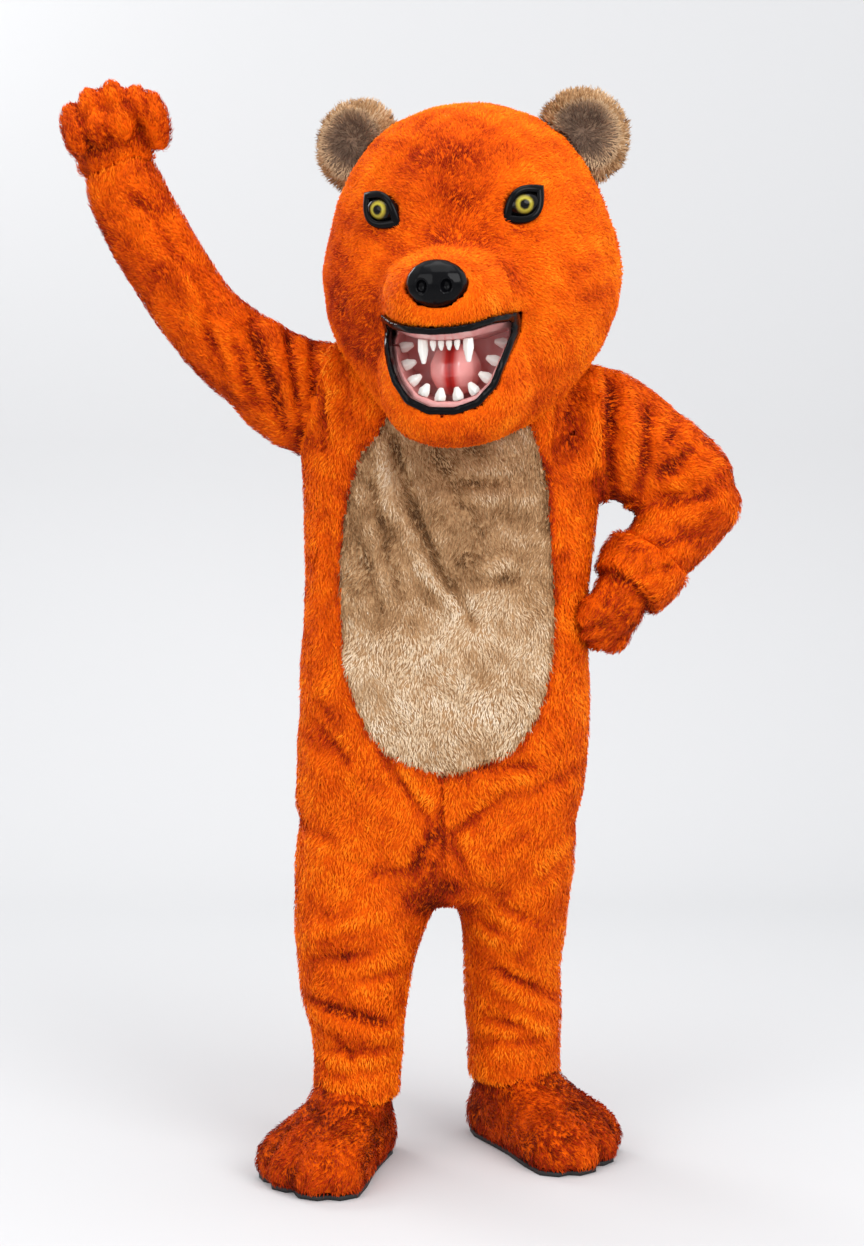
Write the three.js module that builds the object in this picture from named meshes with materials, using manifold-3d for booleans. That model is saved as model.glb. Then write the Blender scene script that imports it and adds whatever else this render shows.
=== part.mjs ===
// Bear mascot costume: a fur suit, gloves, boots and a hollow bear's head, held in the pose of a wearer.
// Millimetres, +Z up. The wearer faces -Y, and the wearer's right side is at -X.
// Heights in the tables are above the floor. The part's origin is at the base of the neck.
import * as THREE from 'three';
import { mergeVertices } from 'three/addons/utils/BufferGeometryUtils.js';
import Module from 'manifold-3d';

const wasm = await Module();
wasm.setup();

// Driving dimensions
const neckHeight = 1423;
const seamGap = 0.3;
const furWall = 14;
const foldDepth = 1.35;
const foldLimit = 9;
const headWall = 16;
const far = 900;
const centreLine = -6;
const inseamTop = 620;
const hipSeam = 690;
const headSeam = 12;
const bellyPoint = 5;
const liningGap = 1.5;
const gumSplit = { upper: -124, lower: -126 };
const mouthGrow = 34;
const shoulderTop = 1480;
const hemHeight = 120;
const squareness = { trunk: 2.4, limb: 2.1, muzzle: 2.2, jaw: 2.4 };
const sleeveEnd = { runOn: 24, share: 0.8 };
const bellyCut = { front: -400, back: -20, gapBack: -10, steps: 24 };

// Facets round each form, and rings along it
const facets = {
  trunk: [30, 17],
  trunkInside: [12, 5],
  leg: [18, 10],
  legInside: [10, 3],
  sleeve: 12,
  sleeveInside: 8,
  skull: [23, 14],
  skullInside: [12, 6],
  snout: 16,
  mouth: 18,
  ear: [12, 7],
  earDish: [10, 6],
  eye: [10, 7],
  lid: [4, 11],
  socket: 12,
  nose: [12, 8],
  nostril: [6, 5],
  tongue: [10, 7],
  tooth: 5,
  lobe: [7, 5],
  boot: 22,
  bootInside: 10,
};

// Finishes
const finishes = {
  orangeFur: { color: 0xe0620c, roughness: 0.95, metalness: 0 },
  tanFur: { color: 0xa58668, roughness: 0.95, metalness: 0 },
  darkFur: { color: 0x5f4f46, roughness: 0.95, metalness: 0 },
  blackGloss: { color: 0x0b0b0c, roughness: 0.18, metalness: 0 },
  blackRubber: { color: 0x161616, roughness: 0.7, metalness: 0 },
  eyeGloss: { color: 0xb8a93a, roughness: 0.1, metalness: 0 },
  toothIvory: { color: 0xf2eee4, roughness: 0.25, metalness: 0 },
  gumPink: { color: 0xd98a86, roughness: 0.35, metalness: 0 },
  tonguePink: { color: 0xe0807c, roughness: 0.4, metalness: 0 },
  zipOrange: { color: 0xb84e0c, roughness: 0.8, metalness: 0 },
};

// Tables become rows with named columns
function table(columns, rows) {
  return rows.map((row) => Object.fromEntries(columns.map((name, i) => [name, row[i]])));
}

// Suit body: one row for each section, with its left, right, front and back reach
const torsoColumns = ['z', 'left', 'right', 'front', 'back'];
const torsoSections = table(torsoColumns, [
  [450, -62, 50, -55, 70],
  [468, -130, 112, -98, 106],
  [520, -215, 190, -126, 136],
  [600, -262, 236, -142, 148],
  [680, -266, 250, -152, 156],
  [780, -260, 258, -160, 158],
  [885, -257, 255, -163, 152],
  [990, -248, 252, -160, 145],
  [1062, -249, 262, -156, 142],
  [1133, -250, 270, -153, 142],
  [1204, -254, 276, -150, 144],
  [1275, -256, 280, -146, 146],
  [1340, -250, 276, -138, 142],
  [1390, -236, 262, -126, 132],
  [1425, -205, 230, -112, 120],
  [1450, -165, 182, -100, 110],
  [1468, -122, 132, -94, 102],
  [shoulderTop, -108, 112, -92, 98],
]);

// Legs: one row for each section, with its centre and half sizes
const legColumns = ['z', 'x', 'y', 'width', 'depth'];
const legs = {
  right: table(legColumns, [
    [hemHeight, -155, -28, 81, 86],
    [142, -155, -28, 80, 86],
    [212, -152, -26, 79, 86],
    [248, -157, -24, 89, 92],
    [283, -160, -22, 96, 96],
    [319, -160, -20, 98, 100],
    [354, -158, -18, 106, 104],
    [389, -154, -15, 115, 108],
    [425, -149, -12, 119, 112],
    [460, -138, -8, 131, 116],
    [530, -134, -4, 134, 124],
    [600, -130, 0, 130, 128],
    [690, -122, 0, 112, 118],
  ]),
  left: table(legColumns, [
    [hemHeight, 125, 92, 86, 88],
    [177, 125, 90, 85, 88],
    [212, 123, 86, 88, 90],
    [248, 124, 82, 90, 92],
    [283, 124, 76, 89, 94],
    [319, 118, 68, 86, 98],
    [354, 122, 60, 91, 102],
    [389, 124, 50, 94, 106],
    [425, 124, 42, 97, 110],
    [460, 119, 34, 108, 114],
    [530, 118, 22, 116, 122],
    [600, 118, 12, 118, 126],
    [690, 116, 4, 106, 116],
  ]),
};

// Arms: one row for each section along the arm, with its centre and half sizes
const armColumns = ['x', 'y', 'z', 'width', 'depth'];
const arms = {
  raised: table(armColumns, [
    [-170, 0, 1330, 96, 88],
    [-255, -2, 1354, 108, 94],
    [-328, -8, 1404, 87, 82],
    [-407, -14, 1464, 78, 76],
    [-467, -18, 1543, 73, 72],
    [-520, -22, 1630, 74, 70],
    [-558, -25, 1706, 72, 68],
    [-578, -25, 1752, 64, 62],
  ]),
  upper: table(armColumns, [
    [180, 5, 1325, 100, 88],
    [268, 8, 1288, 122, 96],
    [330, 14, 1262, 108, 90],
    [385, 22, 1232, 96, 84],
    [440, 28, 1195, 88, 80],
    [474, 30, 1172, 72, 68],
    [492, 30, 1160, 44, 42],
  ]),
  fore: table(armColumns, [
    [476, 30, 1216, 44, 44],
    [468, 29, 1200, 72, 70],
    [450, 24, 1168, 84, 78],
    [408, 8, 1112, 76, 72],
    [366, -11, 1068, 67, 66],
    [332, -31, 1027, 60, 60],
  ]),
};

// Folds: a soft ridge or trough along a line on the front or the back, negative where it sinks in
const foldColumns = ['face', 'x1', 'z1', 'x2', 'z2', 'height', 'reach'];
const folds = table(foldColumns, [
  // belly: the long slanting fold and the softer ones beside it
  ['front', -101, 1300, 44, 958, -7, 26],
  ['front', -52, 1290, 78, 990, 6, 34],
  ['front', -136, 1250, -92, 935, 5, 28],
  ['front', -165, 1210, -128, 930, -4, 20],
  ['front', 92, 1168, 168, 1158, -5, 22],
  // raised shoulder
  ['front', -320, 1472, -264, 1262, -5, 20],
  ['front', -283, 1462, -243, 1283, 6, 20],
  ['front', -241, 1448, -232, 1262, -5, 18],
  ['front', -198, 1440, -182, 1283, 5, 20],
  ['front', -473, 1614, -405, 1452, 5, 26],
  // shoulder over the hand on the hip
  ['front', 246, 1391, 234, 1247, -6, 20],
  ['front', 282, 1370, 264, 1215, 6, 20],
  ['front', 316, 1366, 300, 1190, -6, 18],
  ['front', 350, 1340, 338, 1187, 6, 20],
  ['front', 444, 1281, 393, 1215, -6, 22],
  ['front', 457, 1122, 360, 1110, -6, 20],
  // hips
  ['front', -223, 780, -165, 727, -5, 24],
  ['front', 74, 727, 133, 686, -5, 24],
  ['front', -110, 718, -37, 616, -6, 24],
  ['front', 113, 649, 12, 603, -6, 24],
  ['front', -6, 700, -6, 470, -6, 20],
  // knees
  ['front', 92, 453, 148, 421, -6, 20],
  ['front', 96, 327, 186, 283, -6, 22],
  ['front', -242, 407, -119, 451, 5, 22],
  ['front', -232, 264, -88, 250, -6, 20],
  ['front', -191, 205, -85, 232, 5, 18],
  // the same kinds of fold on the back
  ['back', -150, 1300, -40, 1150, -6, 30],
  ['back', 150, 1290, 60, 1130, -6, 30],
  ['back', -180, 900, 60, 870, -6, 26],
  ['back', -60, 800, 170, 826, 6, 30],
  ['back', -210, 640, -60, 590, -7, 26],
  ['back', 200, 650, 60, 596, -7, 26],
  ['back', -6, 700, -6, 480, -6, 20],
  ['back', -240, 330, -90, 345, -6, 22],
  ['back', 50, 330, 200, 318, -6, 22],
  ['back', -240, 1440, -225, 1270, -5, 22],
  ['back', 262, 1390, 262, 1210, -5, 22],
  ['back', 440, 1270, 380, 1190, -6, 24],
]);

// Armhole lines seen from the front, from above the shoulder down to the armpit
const armholes = {
  right: table(['x', 'z'], [
    [-176, 2100],
    [-188, 1500],
    [-262, 1212],
  ]),
  left: table(['x', 'z'], [
    [232, 2100],
    [248, 1440],
    [290, 1160],
    [288, 1100],
    [276, 1010],
    [276, 700],
  ]),
};

// Centre back zip: half its width, its lower end and how deep its tape lies under the fur
const zip = { half: 7, bottom: 740, outside: 5, inside: 9, front: 10 };

// Belly panel: one row for each height, with its edges left and right
const bellyEdges = table(['z', 'left', 'right'], [
  [707, -30, 28],
  [718, -74, 78],
  [742, -108, 118],
  [790, -142, 154],
  [860, -168, 177],
  [955, -179, 186],
  [1065, -180, 185],
  [1185, -168, 177],
  [1250, -146, 164],
  [1295, -108, 148],
  [1380, -78, 104],
  [1520, -64, 74],
]);

// Head: sizes in the head's own frame, with its centre between the cheeks
const head = {
  position: new THREE.Vector3(48, -20, 1565),
  turn: THREE.MathUtils.degToRad(-10),
  tilt: THREE.MathUtils.degToRad(-1.5),
};
const skullColumns = ['z', 'width', 'front', 'back'];
const skullSections = table(skullColumns, [
  [300, 36, -40, 40],
  [288, 92, -98, 92],
  [262, 142, -140, 138],
  [225, 185, -178, 172],
  [180, 213, -205, 198],
  [130, 235, -220, 216],
  [70, 254, -232, 228],
  [10, 265, -240, 232],
  [-40, 264, -244, 228],
  [-90, 250, -246, 214],
  [-140, 226, -246, 190],
  [-185, 196, -244, 150],
  [-222, 164, -240, 96],
  [-255, 128, -232, 20],
  [-282, 84, -222, -60],
  [-298, 34, -200, -110],
]);
const snoutColumns = ['y', 'width', 'top', 'bottom'];
const muzzleSections = table(snoutColumns, [
  [-190, 130, 48, -136],
  [-240, 124, 42, -134],
  [-290, 108, 30, -130],
  [-335, 92, 16, -124],
  [-368, 72, 0, -114],
  [-386, 44, -18, -94],
]);
const jawSections = table(snoutColumns, [
  [-170, 138, -52, -294],
  [-230, 132, -62, -301],
  [-275, 114, -78, -298],
  [-305, 92, -98, -286],
  [-324, 58, -144, -268],
]);
const mouthEdge = table(['x', 'z'], [
  [-112, -74],
  [-78, -92],
  [-40, -100],
  [0, -103],
  [40, -100],
  [78, -92],
  [112, -74],
  [113, -106],
  [99, -156],
  [80, -203],
  [48, -234],
  [0, -243],
  [-48, -234],
  [-80, -203],
  [-99, -156],
  [-113, -106],
]);
const mouth = {
  z: -168,
  halfWidth: 112,
  halfHeight: 72,
  back: -150,
  lip: 9,
  lipDepth: 30,
  proud: 5,
  lining: 6,
  plate: 8,
  gum: 13,
  gumBehind: 4,
};
const ear = {
  x: 200,
  y: 10,
  z: 236,
  radius: 84,
  depth: 30,
  bowl: 62,
  bowlDepth: 18,
  padDepth: 14,
  dish: 1.3,
  lean: 0.3,
};
const eye = {
  x: 119,
  z: 106,
  width: 27,
  height: 22,
  depth: 22,
  rim: 7.5,
  slant: 0.2,
  facing: 0.42,
  sunk: 8,
  seat: 60,
  seatGap: 1.6,
};
const nose = { y: -372, z: -30, width: 52, depth: 34, height: 40 };
const nostril = { x: 21, drop: 6, width: 12, depth: 20, height: 14 };
const tongue = { y: -206, z: -168, width: 38, length: 62, height: 40 };
const groove = { width: 5, depth: 15, height: 32, lift: 2 };
const teeth = {
  canine: { x: 38, length: 46, radius: 10 },
  incisor: { x: [-20, -6.7, 6.7, 20], length: 20, radius: 6 },
  lower: { count: 10, length: 27, radius: 10.5, top: -128, samples: 200 },
  upperRow: -140,
  behindLip: 12,
};
const toothProfile = table(['root', 'share', 'width'], [[4, 0, 0.95], [0, 0.4, 1], [0, 0.9, 0.42]]);

// Boots: the outline of a right boot, outward and forward of the ankle
const bootOutline = table(['out', 'forward'], [
  [5, -112], [46, -96], [64, -45], [70, 20], [88, 80], [116, 116],
  [124, 150], [104, 174], [88, 178], [74, 206], [44, 216], [32, 210],
  [12, 236], [-26, 240], [-40, 226], [-62, 226], [-84, 198], [-78, 140],
  [-64, 70], [-56, 0], [-50, -60], [-34, -98],
]);
const bootRise = table(['z', 'inward', 'swell'], [
  [8.3, 0.0, 0],
  [28, 0.0, 8],
  [52, 0.04, 6],
  [76, 0.2, 2],
  [98, 0.54, 0],
  [122, 0.84, 0],
  [148, 1.0, 0],
  [210, 1.0, 0],
]);
const boots = {
  right: { x: -158, y: -30, side: -1, turn: 20 },
  left: { x: 126, y: 90, side: 1, turn: 33 },
};
const bootShaft = { width: 74, depth: 80 };
const bootMiddle = { out: 6, forward: 30 };
const bootInside = { sole: 12, rise: 0.82, top: 240, wall: 13 };
const sole = { thickness: 8, set: 3 };

// Gloves: rounded lobes in the hand's own frame, z along the hand and the palm towards -y
const lobeColumns = ['x', 'y', 'z', 'width', 'depth', 'height'];
const gloves = {
  right: {
    wrist: new THREE.Vector3(-560, -25, 1716),
    along: new THREE.Vector3(-0.22, -0.05, 0.97),
    palm: new THREE.Vector3(0, -1, 0),
    cuff: table(armColumns, [
      [-532, -24, 1650, 86, 82],
      [-551, -25, 1692, 86, 82],
      [-566, -25, 1734, 80, 76],
    ]),
    hollow: table(lobeColumns, [
      [-8, 8, 96, 70, 38, 54],
      [-4, 4, 52, 58, 48, 46],
    ]),
    lobes: table(lobeColumns, [
      [-8, 6, 104, 88, 54, 70],
      [-6, 2, 60, 76, 62, 54],
      [-62, -14, 124, 30, 44, 42],
      [-24, -20, 141, 29, 46, 44],
      [17, -20, 148, 28, 46, 43],
      [55, -14, 134, 27, 42, 40],
      [-60, -46, 102, 27, 24, 34],
      [-20, -52, 106, 27, 25, 34],
      [20, -50, 104, 26, 24, 34],
      [82, -26, 102, 24, 30, 56],
    ]),
  },
  left: {
    wrist: new THREE.Vector3(337, -28, 1034),
    along: new THREE.Vector3(-0.58, -0.26, -0.77),
    palm: new THREE.Vector3(-0.62, 0.7, 0.1),
    cuff: table(armColumns, [
      [361, -13, 1067, 80, 78],
      [341, -25, 1039, 80, 78],
      [321, -37, 1013, 72, 70],
    ]),
    hollow: table(lobeColumns, [
      [0, 6, 70, 50, 30, 46],
      [-2, 4, 36, 46, 34, 40],
    ]),
    lobes: table(lobeColumns, [
      [0, 4, 74, 66, 46, 60],
      [-4, 2, 40, 62, 50, 46],
      [-46, 2, 106, 23, 36, 34],
      [-16, -2, 118, 23, 38, 36],
      [15, -2, 118, 23, 38, 36],
      [44, 2, 106, 22, 36, 34],
      [58, -24, 66, 22, 26, 44],
    ]),
  },
};

// Geometry helpers
function toSolid(geometry) {
  const bare = geometry.clone();
  bare.deleteAttribute('normal');
  bare.deleteAttribute('uv');
  const merged = mergeVertices(bare, 1e-3);
  return new wasm.Manifold(new wasm.Mesh({
    numProp: 3,
    vertProperties: Float32Array.from(merged.attributes.position.array),
    triVerts: Uint32Array.from(merged.index.array),
  }));
}

function toGeometry(solid) {
  const mesh = solid.getMesh();
  const geometry = new THREE.BufferGeometry();
  geometry.setAttribute('position', new THREE.BufferAttribute(Float32Array.from(mesh.vertProperties), 3));
  geometry.setIndex(new THREE.BufferAttribute(Uint32Array.from(mesh.triVerts), 1));
  geometry.computeVertexNormals();
  return geometry;
}

function joined(solids) {
  return solids.reduce((sum, solid) => sum.add(solid));
}

function largest(solid) {
  const bodies = solid.decompose();
  return bodies.reduce((best, body) => (body.volume() > best.volume() ? body : best));
}

// A closed skin over rings of points, each ring counter-clockwise seen from the last ring's side
function ringGeometry(rings) {
  const count = rings[0].length;
  const points = [];
  const faces = [];
  rings.forEach((ring) => ring.forEach((point) => points.push(point.x, point.y, point.z)));
  for (let r = 0; r < rings.length - 1; r += 1) {
    for (let i = 0; i < count; i += 1) {
      const a = r * count + i;
      const b = r * count + (i + 1) % count;
      faces.push(a, b, b + count, a, b + count, a + count);
    }
  }
  const ends = [rings[0], rings[rings.length - 1]];
  ends.forEach((ring, end) => {
    const middle = ring.reduce((sum, point) => sum.add(point), new THREE.Vector3()).divideScalar(count);
    const hub = points.length / 3;
    const start = end * (rings.length - 1) * count;
    points.push(middle.x, middle.y, middle.z);
    for (let i = 0; i < count; i += 1) {
      const a = start + i;
      const b = start + (i + 1) % count;
      faces.push(...(end ? [a, b, hub] : [b, a, hub]));
    }
  });
  const geometry = new THREE.BufferGeometry();
  geometry.setAttribute('position', new THREE.BufferAttribute(new Float32Array(points), 3));
  geometry.setIndex(faces);
  return geometry;
}

function power(value, exponent) {
  return Math.sign(value) * Math.abs(value) ** exponent;
}

// Rows worked out between the rows of a table, along one of its columns
function between(rows, key, value) {
  const rising = rows[1][key] > rows[0][key] ? 1 : -1;
  const last = rows.length - 1;
  let i = rows.findIndex((row) => (row[key] - value) * rising > 0) - 1;
  if (i < 0) i = (value - rows[0][key]) * rising <= 0 ? 0 : last - 1;
  const t = THREE.MathUtils.clamp((value - rows[i][key]) / (rows[i + 1][key] - rows[i][key]), 0, 1);
  const before = rows[Math.max(i - 1, 0)];
  const after = rows[Math.min(i + 2, last)];
  const row = {};
  Object.keys(rows[0]).forEach((name) => {
    const p1 = rows[i][name];
    const p2 = rows[i + 1][name];
    const slope1 = (p2 - before[name]) / 2;
    const slope2 = (after[name] - p1) / 2;
    const t2 = t * t;
    const t3 = t2 * t;
    row[name] = (2 * t3 - 3 * t2 + 1) * p1 + (t3 - 2 * t2 + t) * slope1
      + (3 * t2 - 2 * t3) * p2 + (t3 - t2) * slope2;
  });
  row[key] = value;
  return row;
}

function foldHeight(point, faceY) {
  const face = faceY < 0 ? 'front' : 'back';
  const fade = Math.min(1, Math.abs(faceY) * 1.6);
  let height = 0;
  folds.filter((fold) => fold.face === face).forEach((fold) => {
    const run = new THREE.Vector2(fold.x2 - fold.x1, fold.z2 - fold.z1);
    const from = new THREE.Vector2(point.x - fold.x1, point.z - fold.z1);
    const t = THREE.MathUtils.clamp(from.dot(run) / run.lengthSq(), 0, 1);
    const gap = from.sub(run.multiplyScalar(t)).length();
    height += fold.height * Math.exp(-((gap / fold.reach) ** 2)) * fade;
  });
  return THREE.MathUtils.clamp(height * foldDepth, -foldLimit, foldLimit);
}

// A ring of a rounded section in the plane of two directions
function sectionRing(centre, u, v, halfU, halfV, squareness, count, folded) {
  const ring = [];
  for (let i = 0; i < count; i += 1) {
    const angle = (i + 0.5) / count * Math.PI * 2;
    const a = power(Math.cos(angle), 2 / squareness);
    const b = power(Math.sin(angle), 2 / squareness);
    const point = centre.clone().addScaledVector(u, a * halfU).addScaledVector(v, b * halfV);
    if (folded) {
      const out = u.clone().multiplyScalar(Math.cos(angle)).addScaledVector(v, Math.sin(angle)).normalize();
      point.addScaledVector(out, foldHeight(point, out.y));
    }
    ring.push(point);
  }
  return ring;
}

const xAxis = new THREE.Vector3(1, 0, 0);
const yAxis = new THREE.Vector3(0, 1, 0);
const zAxis = new THREE.Vector3(0, 0, 1);

function steps(from, to, count) {
  return Array.from({ length: count + 1 }, (_, i) => from + (to - from) * i / count);
}

// The trunk, pulled in by an inset; an inner trunk runs on above the collar, which leaves it open
function trunk(inset, [count, rings], folded) {
  const top = inset > 0 ? shoulderTop + 30 : shoulderTop;
  const bottom = torsoSections[0].z;
  const heights = [...steps(bottom, torsoSections[1].z, 1), ...steps(bottom + 70, shoulderTop, rings)];
  const skin = heights.map((z) => {
    const row = between(torsoSections, 'z', z);
    const centre = new THREE.Vector3((row.left + row.right) / 2, (row.front + row.back) / 2, z);
    centre.z += inset > 0 ? inset * (1 - (z - bottom) / (shoulderTop - bottom)) : 0;
    const width = (row.right - row.left) / 2 - inset;
    const depth = (row.back - row.front) / 2 - inset;
    return sectionRing(centre, xAxis, yAxis, width, depth, squareness.trunk, count, folded);
  });
  if (inset > 0) {
    skin.push(skin[skin.length - 1].map((point) => point.clone().setZ(top)));
  }
  return toSolid(ringGeometry(skin));
}

function leg(rows, inset, [count, rings], folded) {
  const first = rows[0].z;
  const last = rows[rows.length - 1].z;
  const skin = steps(first, last, rings).map((z) => {
    const row = between(rows, 'z', z);
    const centre = new THREE.Vector3(row.x, row.y, z);
    const [width, depth] = [row.width - inset, row.depth - inset];
    return sectionRing(centre, xAxis, yAxis, width, depth, squareness.limb, count, folded);
  });
  if (inset > 0) {
    skin.unshift(skin[0].map((point) => point.clone().setZ(first - 30)));
  }
  return toSolid(ringGeometry(skin));
}

// A sleeve along its arm; openEnd lets an inner sleeve run on past the cuff
function sleeve(rows, inset, count, perRow, folded, openEnd) {
  const path = new THREE.CatmullRomCurve3(rows.map((row) => new THREE.Vector3(row.x, row.y, row.z)));
  const rings = (rows.length - 1) * perRow;
  const skin = [];
  for (let i = 0; i <= rings; i += 1) {
    const t = i / rings;
    const place = t * (rows.length - 1);
    const k = Math.min(Math.floor(place), rows.length - 2);
    const blend = place - k;
    const width = THREE.MathUtils.lerp(rows[k].width, rows[k + 1].width, blend) - inset;
    const depth = THREE.MathUtils.lerp(rows[k].depth, rows[k + 1].depth, blend) - inset;
    const along = path.getTangent(t);
    const across = new THREE.Vector3().crossVectors(yAxis, along).normalize();
    const back = new THREE.Vector3().crossVectors(along, across).normalize();
    const centre = path.getPoint(t);
    if (inset > 0 && i === 0) centre.addScaledVector(along, inset * sleeveEnd.share);
    const run = openEnd ? sleeveEnd.runOn : -inset * sleeveEnd.share;
    if (inset > 0 && i === rings) centre.addScaledVector(along, run);
    if (inset < 0 && i === rings) centre.addScaledVector(along, -inset * 2);
    skin.push(sectionRing(centre, across, back, width, depth, squareness.limb, count, folded));
  }
  return toSolid(ringGeometry(skin));
}

// An outline in the x-z plane, pushed along y from one depth to another
function frontPrism(points, fromY, toY) {
  const shape = new THREE.Shape(points.map((point) => new THREE.Vector2(point[0], point[1])));
  const geometry = new THREE.ExtrudeGeometry(shape, { depth: toY - fromY, bevelEnabled: false });
  geometry.rotateX(Math.PI / 2);
  geometry.translate(0, toY, 0);
  return toSolid(geometry);
}

// An outline in the y-z plane, pushed along x
function sidePrism(points, fromX, toX) {
  const shape = new THREE.Shape(points.map((point) => new THREE.Vector2(point[0], point[1])));
  const geometry = new THREE.ExtrudeGeometry(shape, { depth: toX - fromX, bevelEnabled: false });
  const toFrame = new THREE.Matrix4().makeBasis(yAxis, zAxis, xAxis);
  geometry.applyMatrix4(toFrame);
  geometry.translate(fromX, 0, 0);
  return toSolid(geometry);
}

// A stretched ball, set off from the origin and then placed by a matrix
function ball(width, depth, height, offset, matrix, [around, tall]) {
  const geometry = new THREE.SphereGeometry(1, around, tall);
  geometry.rotateX(Math.PI / 2);
  geometry.scale(width, depth, height);
  geometry.translate(...offset);
  if (matrix) geometry.applyMatrix4(matrix);
  return toSolid(geometry);
}

function block(low, high) {
  const geometry = new THREE.BoxGeometry(high[0] - low[0], high[1] - low[1], high[2] - low[2]);
  geometry.translate((low[0] + high[0]) / 2, (low[1] + high[1]) / 2, (low[2] + high[2]) / 2);
  return toSolid(geometry);
}

// The suit's outer form, grown by a clearance where other pieces are cut to it
function suitOuter(grow) {
  return joined([
    trunk(-grow, facets.trunk, true),
    leg(legs.right, -grow, facets.leg, true),
    leg(legs.left, -grow, facets.leg, true),
    sleeve(arms.raised, -grow, facets.sleeve, 2, true, true),
    sleeve(arms.upper, -grow, facets.sleeve, 1, true, false),
    sleeve(arms.fore, -grow, facets.sleeve, 2, true, true),
  ]);
}

function suitInner() {
  return joined([
    trunk(furWall, facets.trunkInside, false),
    leg(legs.right, furWall, facets.legInside, false),
    leg(legs.left, furWall, facets.legInside, false),
    sleeve(arms.raised, furWall, facets.sleeveInside, 1, false, true),
    sleeve(arms.upper, furWall, facets.sleeveInside, 1, false, false),
    sleeve(arms.fore, furWall, facets.sleeveInside, 1, false, true),
  ]);
}

// Outside an armhole line lies a sleeve, inside it the suit's trunk
function armhole(side, gap) {
  const rows = armholes[side];
  const out = side === 'right' ? -1 : 1;
  const lift = side === 'right' ? gap : 0;
  const last = rows[rows.length - 1];
  const edge = rows.map((row) => [row.x + out * gap, row.z + (row === last ? lift : 0)]);
  const outline = [...edge, [out * far, last.z + lift], [out * far, rows[0].z]];
  return frontPrism(out < 0 ? outline : outline.reverse(), -far, far);
}

// The side seams run from the armholes down the middle of each leg
function quarter(side, face) {
  const ankle = legs[side][0].y;
  const reach = face === 'front' ? -far : far;
  const shift = face === 'front' ? -seamGap / 2 : seamGap / 2;
  const over = shoulderTop + hemHeight;
  const under = hemHeight / 2;
  const line = [[shift, over], [shift, inseamTop], [ankle + shift, under]];
  const outline = [...line, [reach, under], [reach, over]];
  const fromX = side === 'right' ? -far : centreLine + seamGap / 2;
  const toX = side === 'right' ? centreLine - seamGap / 2 : far;
  return sidePrism(face === 'front' ? outline.reverse() : outline, fromX, toX);
}

// An outline moved outwards, each corner along the middle of its two edges' normals
function grownOutline(points, grow) {
  const corners = points.map((point) => new THREE.Vector2(point[0], point[1]));
  return corners.map((corner, i) => {
    const before = corners[(i + corners.length - 1) % corners.length];
    const after = corners[(i + 1) % corners.length];
    const edges = [corner.clone().sub(before), after.clone().sub(corner)];
    const normals = edges.map((edge) => new THREE.Vector2(edge.y, -edge.x).normalize());
    const middle = normals[0].clone().add(normals[1]).normalize();
    const out = corner.clone().addScaledVector(middle, grow / middle.dot(normals[0]));
    return [out.x, out.y];
  });
}

function bellyOutline(grow) {
  const heights = steps(bellyEdges[0].z, bellyEdges[bellyEdges.length - 1].z, bellyCut.steps);
  const rows = heights.map((z) => between(bellyEdges, 'z', z));
  const lowest = [(rows[0].left + rows[0].right) / 2, rows[0].z - bellyPoint];
  const rightSide = rows.map((row) => [row.right, row.z]);
  const leftSide = rows.map((row) => [row.left, row.z]).reverse();
  return grownOutline([lowest, ...rightSide, ...leftSide], grow);
}

// The slot down the middle of the back that the zip's tape fills, up to a height
function zipSlot(grow, top) {
  const half = zip.half + grow;
  const bottom = zip.bottom - grow;
  const left = centreLine - half;
  const right = centreLine + half;
  return frontPrism([[left, bottom], [right, bottom], [right, top], [left, top]], zip.front, far);
}

function suitPieces() {
  const wall = suitOuter(0).subtract(suitInner());
  const bodyWall = wall.subtract(armhole('right', 0)).subtract(armhole('left', 0));
  const belly = frontPrism(bellyOutline(0), bellyCut.front, bellyCut.back);
  const bellyGap = frontPrism(bellyOutline(seamGap), bellyCut.front, bellyCut.gapBack);
  const above = block([-far, -far, hipSeam], [far, far, far * 2]);
  const below = block([-far, -far, 0], [far, far, hipSeam - seamGap]);
  const pieces = {
    belly_panel: ['tanFur', bodyWall.intersect(belly)],
    sleeve_right: ['orangeFur', wall.intersect(armhole('right', seamGap))],
    sleeve_left: ['orangeFur', wall.intersect(armhole('left', seamGap))],
  };
  ['right', 'left'].forEach((side) => {
    const front = bodyWall.intersect(quarter(side, 'front')).subtract(bellyGap);
    const back = bodyWall.intersect(quarter(side, 'back')).subtract(zipSlot(seamGap, far * 2));
    pieces[`suit_front_${side}`] = ['orangeFur', front.intersect(above)];
    pieces[`leg_front_${side}`] = ['orangeFur', front.intersect(below)];
    pieces[`suit_back_${side}`] = ['orangeFur', back.intersect(above)];
    pieces[`leg_back_${side}`] = ['orangeFur', back.intersect(below)];
  });
  const tape = trunk(zip.outside, facets.trunk, false).subtract(trunk(zip.inside, facets.trunk, false));
  pieces.back_zip = ['zipOrange', tape.intersect(zipSlot(0, shoulderTop))];
  return pieces;
}

// Head forms in the head's own frame
function skull(inset, [count, rings]) {
  const top = skullSections[0].z;
  const bottom = skullSections[skullSections.length - 1].z;
  const middle = (top + bottom) / 2;
  const half = (top - bottom) / 2;
  const heights = steps(0, Math.PI, rings).map((angle) => middle - Math.cos(angle) * half);
  const skin = heights.map((z) => {
    const row = between(skullSections, 'z', z);
    const centre = new THREE.Vector3(0, (row.front + row.back) / 2, z);
    centre.z -= inset * (z - middle) / half;
    const width = Math.max(4, row.width - inset);
    const depth = Math.max(4, (row.back - row.front) / 2 - inset);
    return sectionRing(centre, xAxis, yAxis, width, depth, 2.15, count, false);
  });
  return toSolid(ringGeometry(skin));
}

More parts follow.
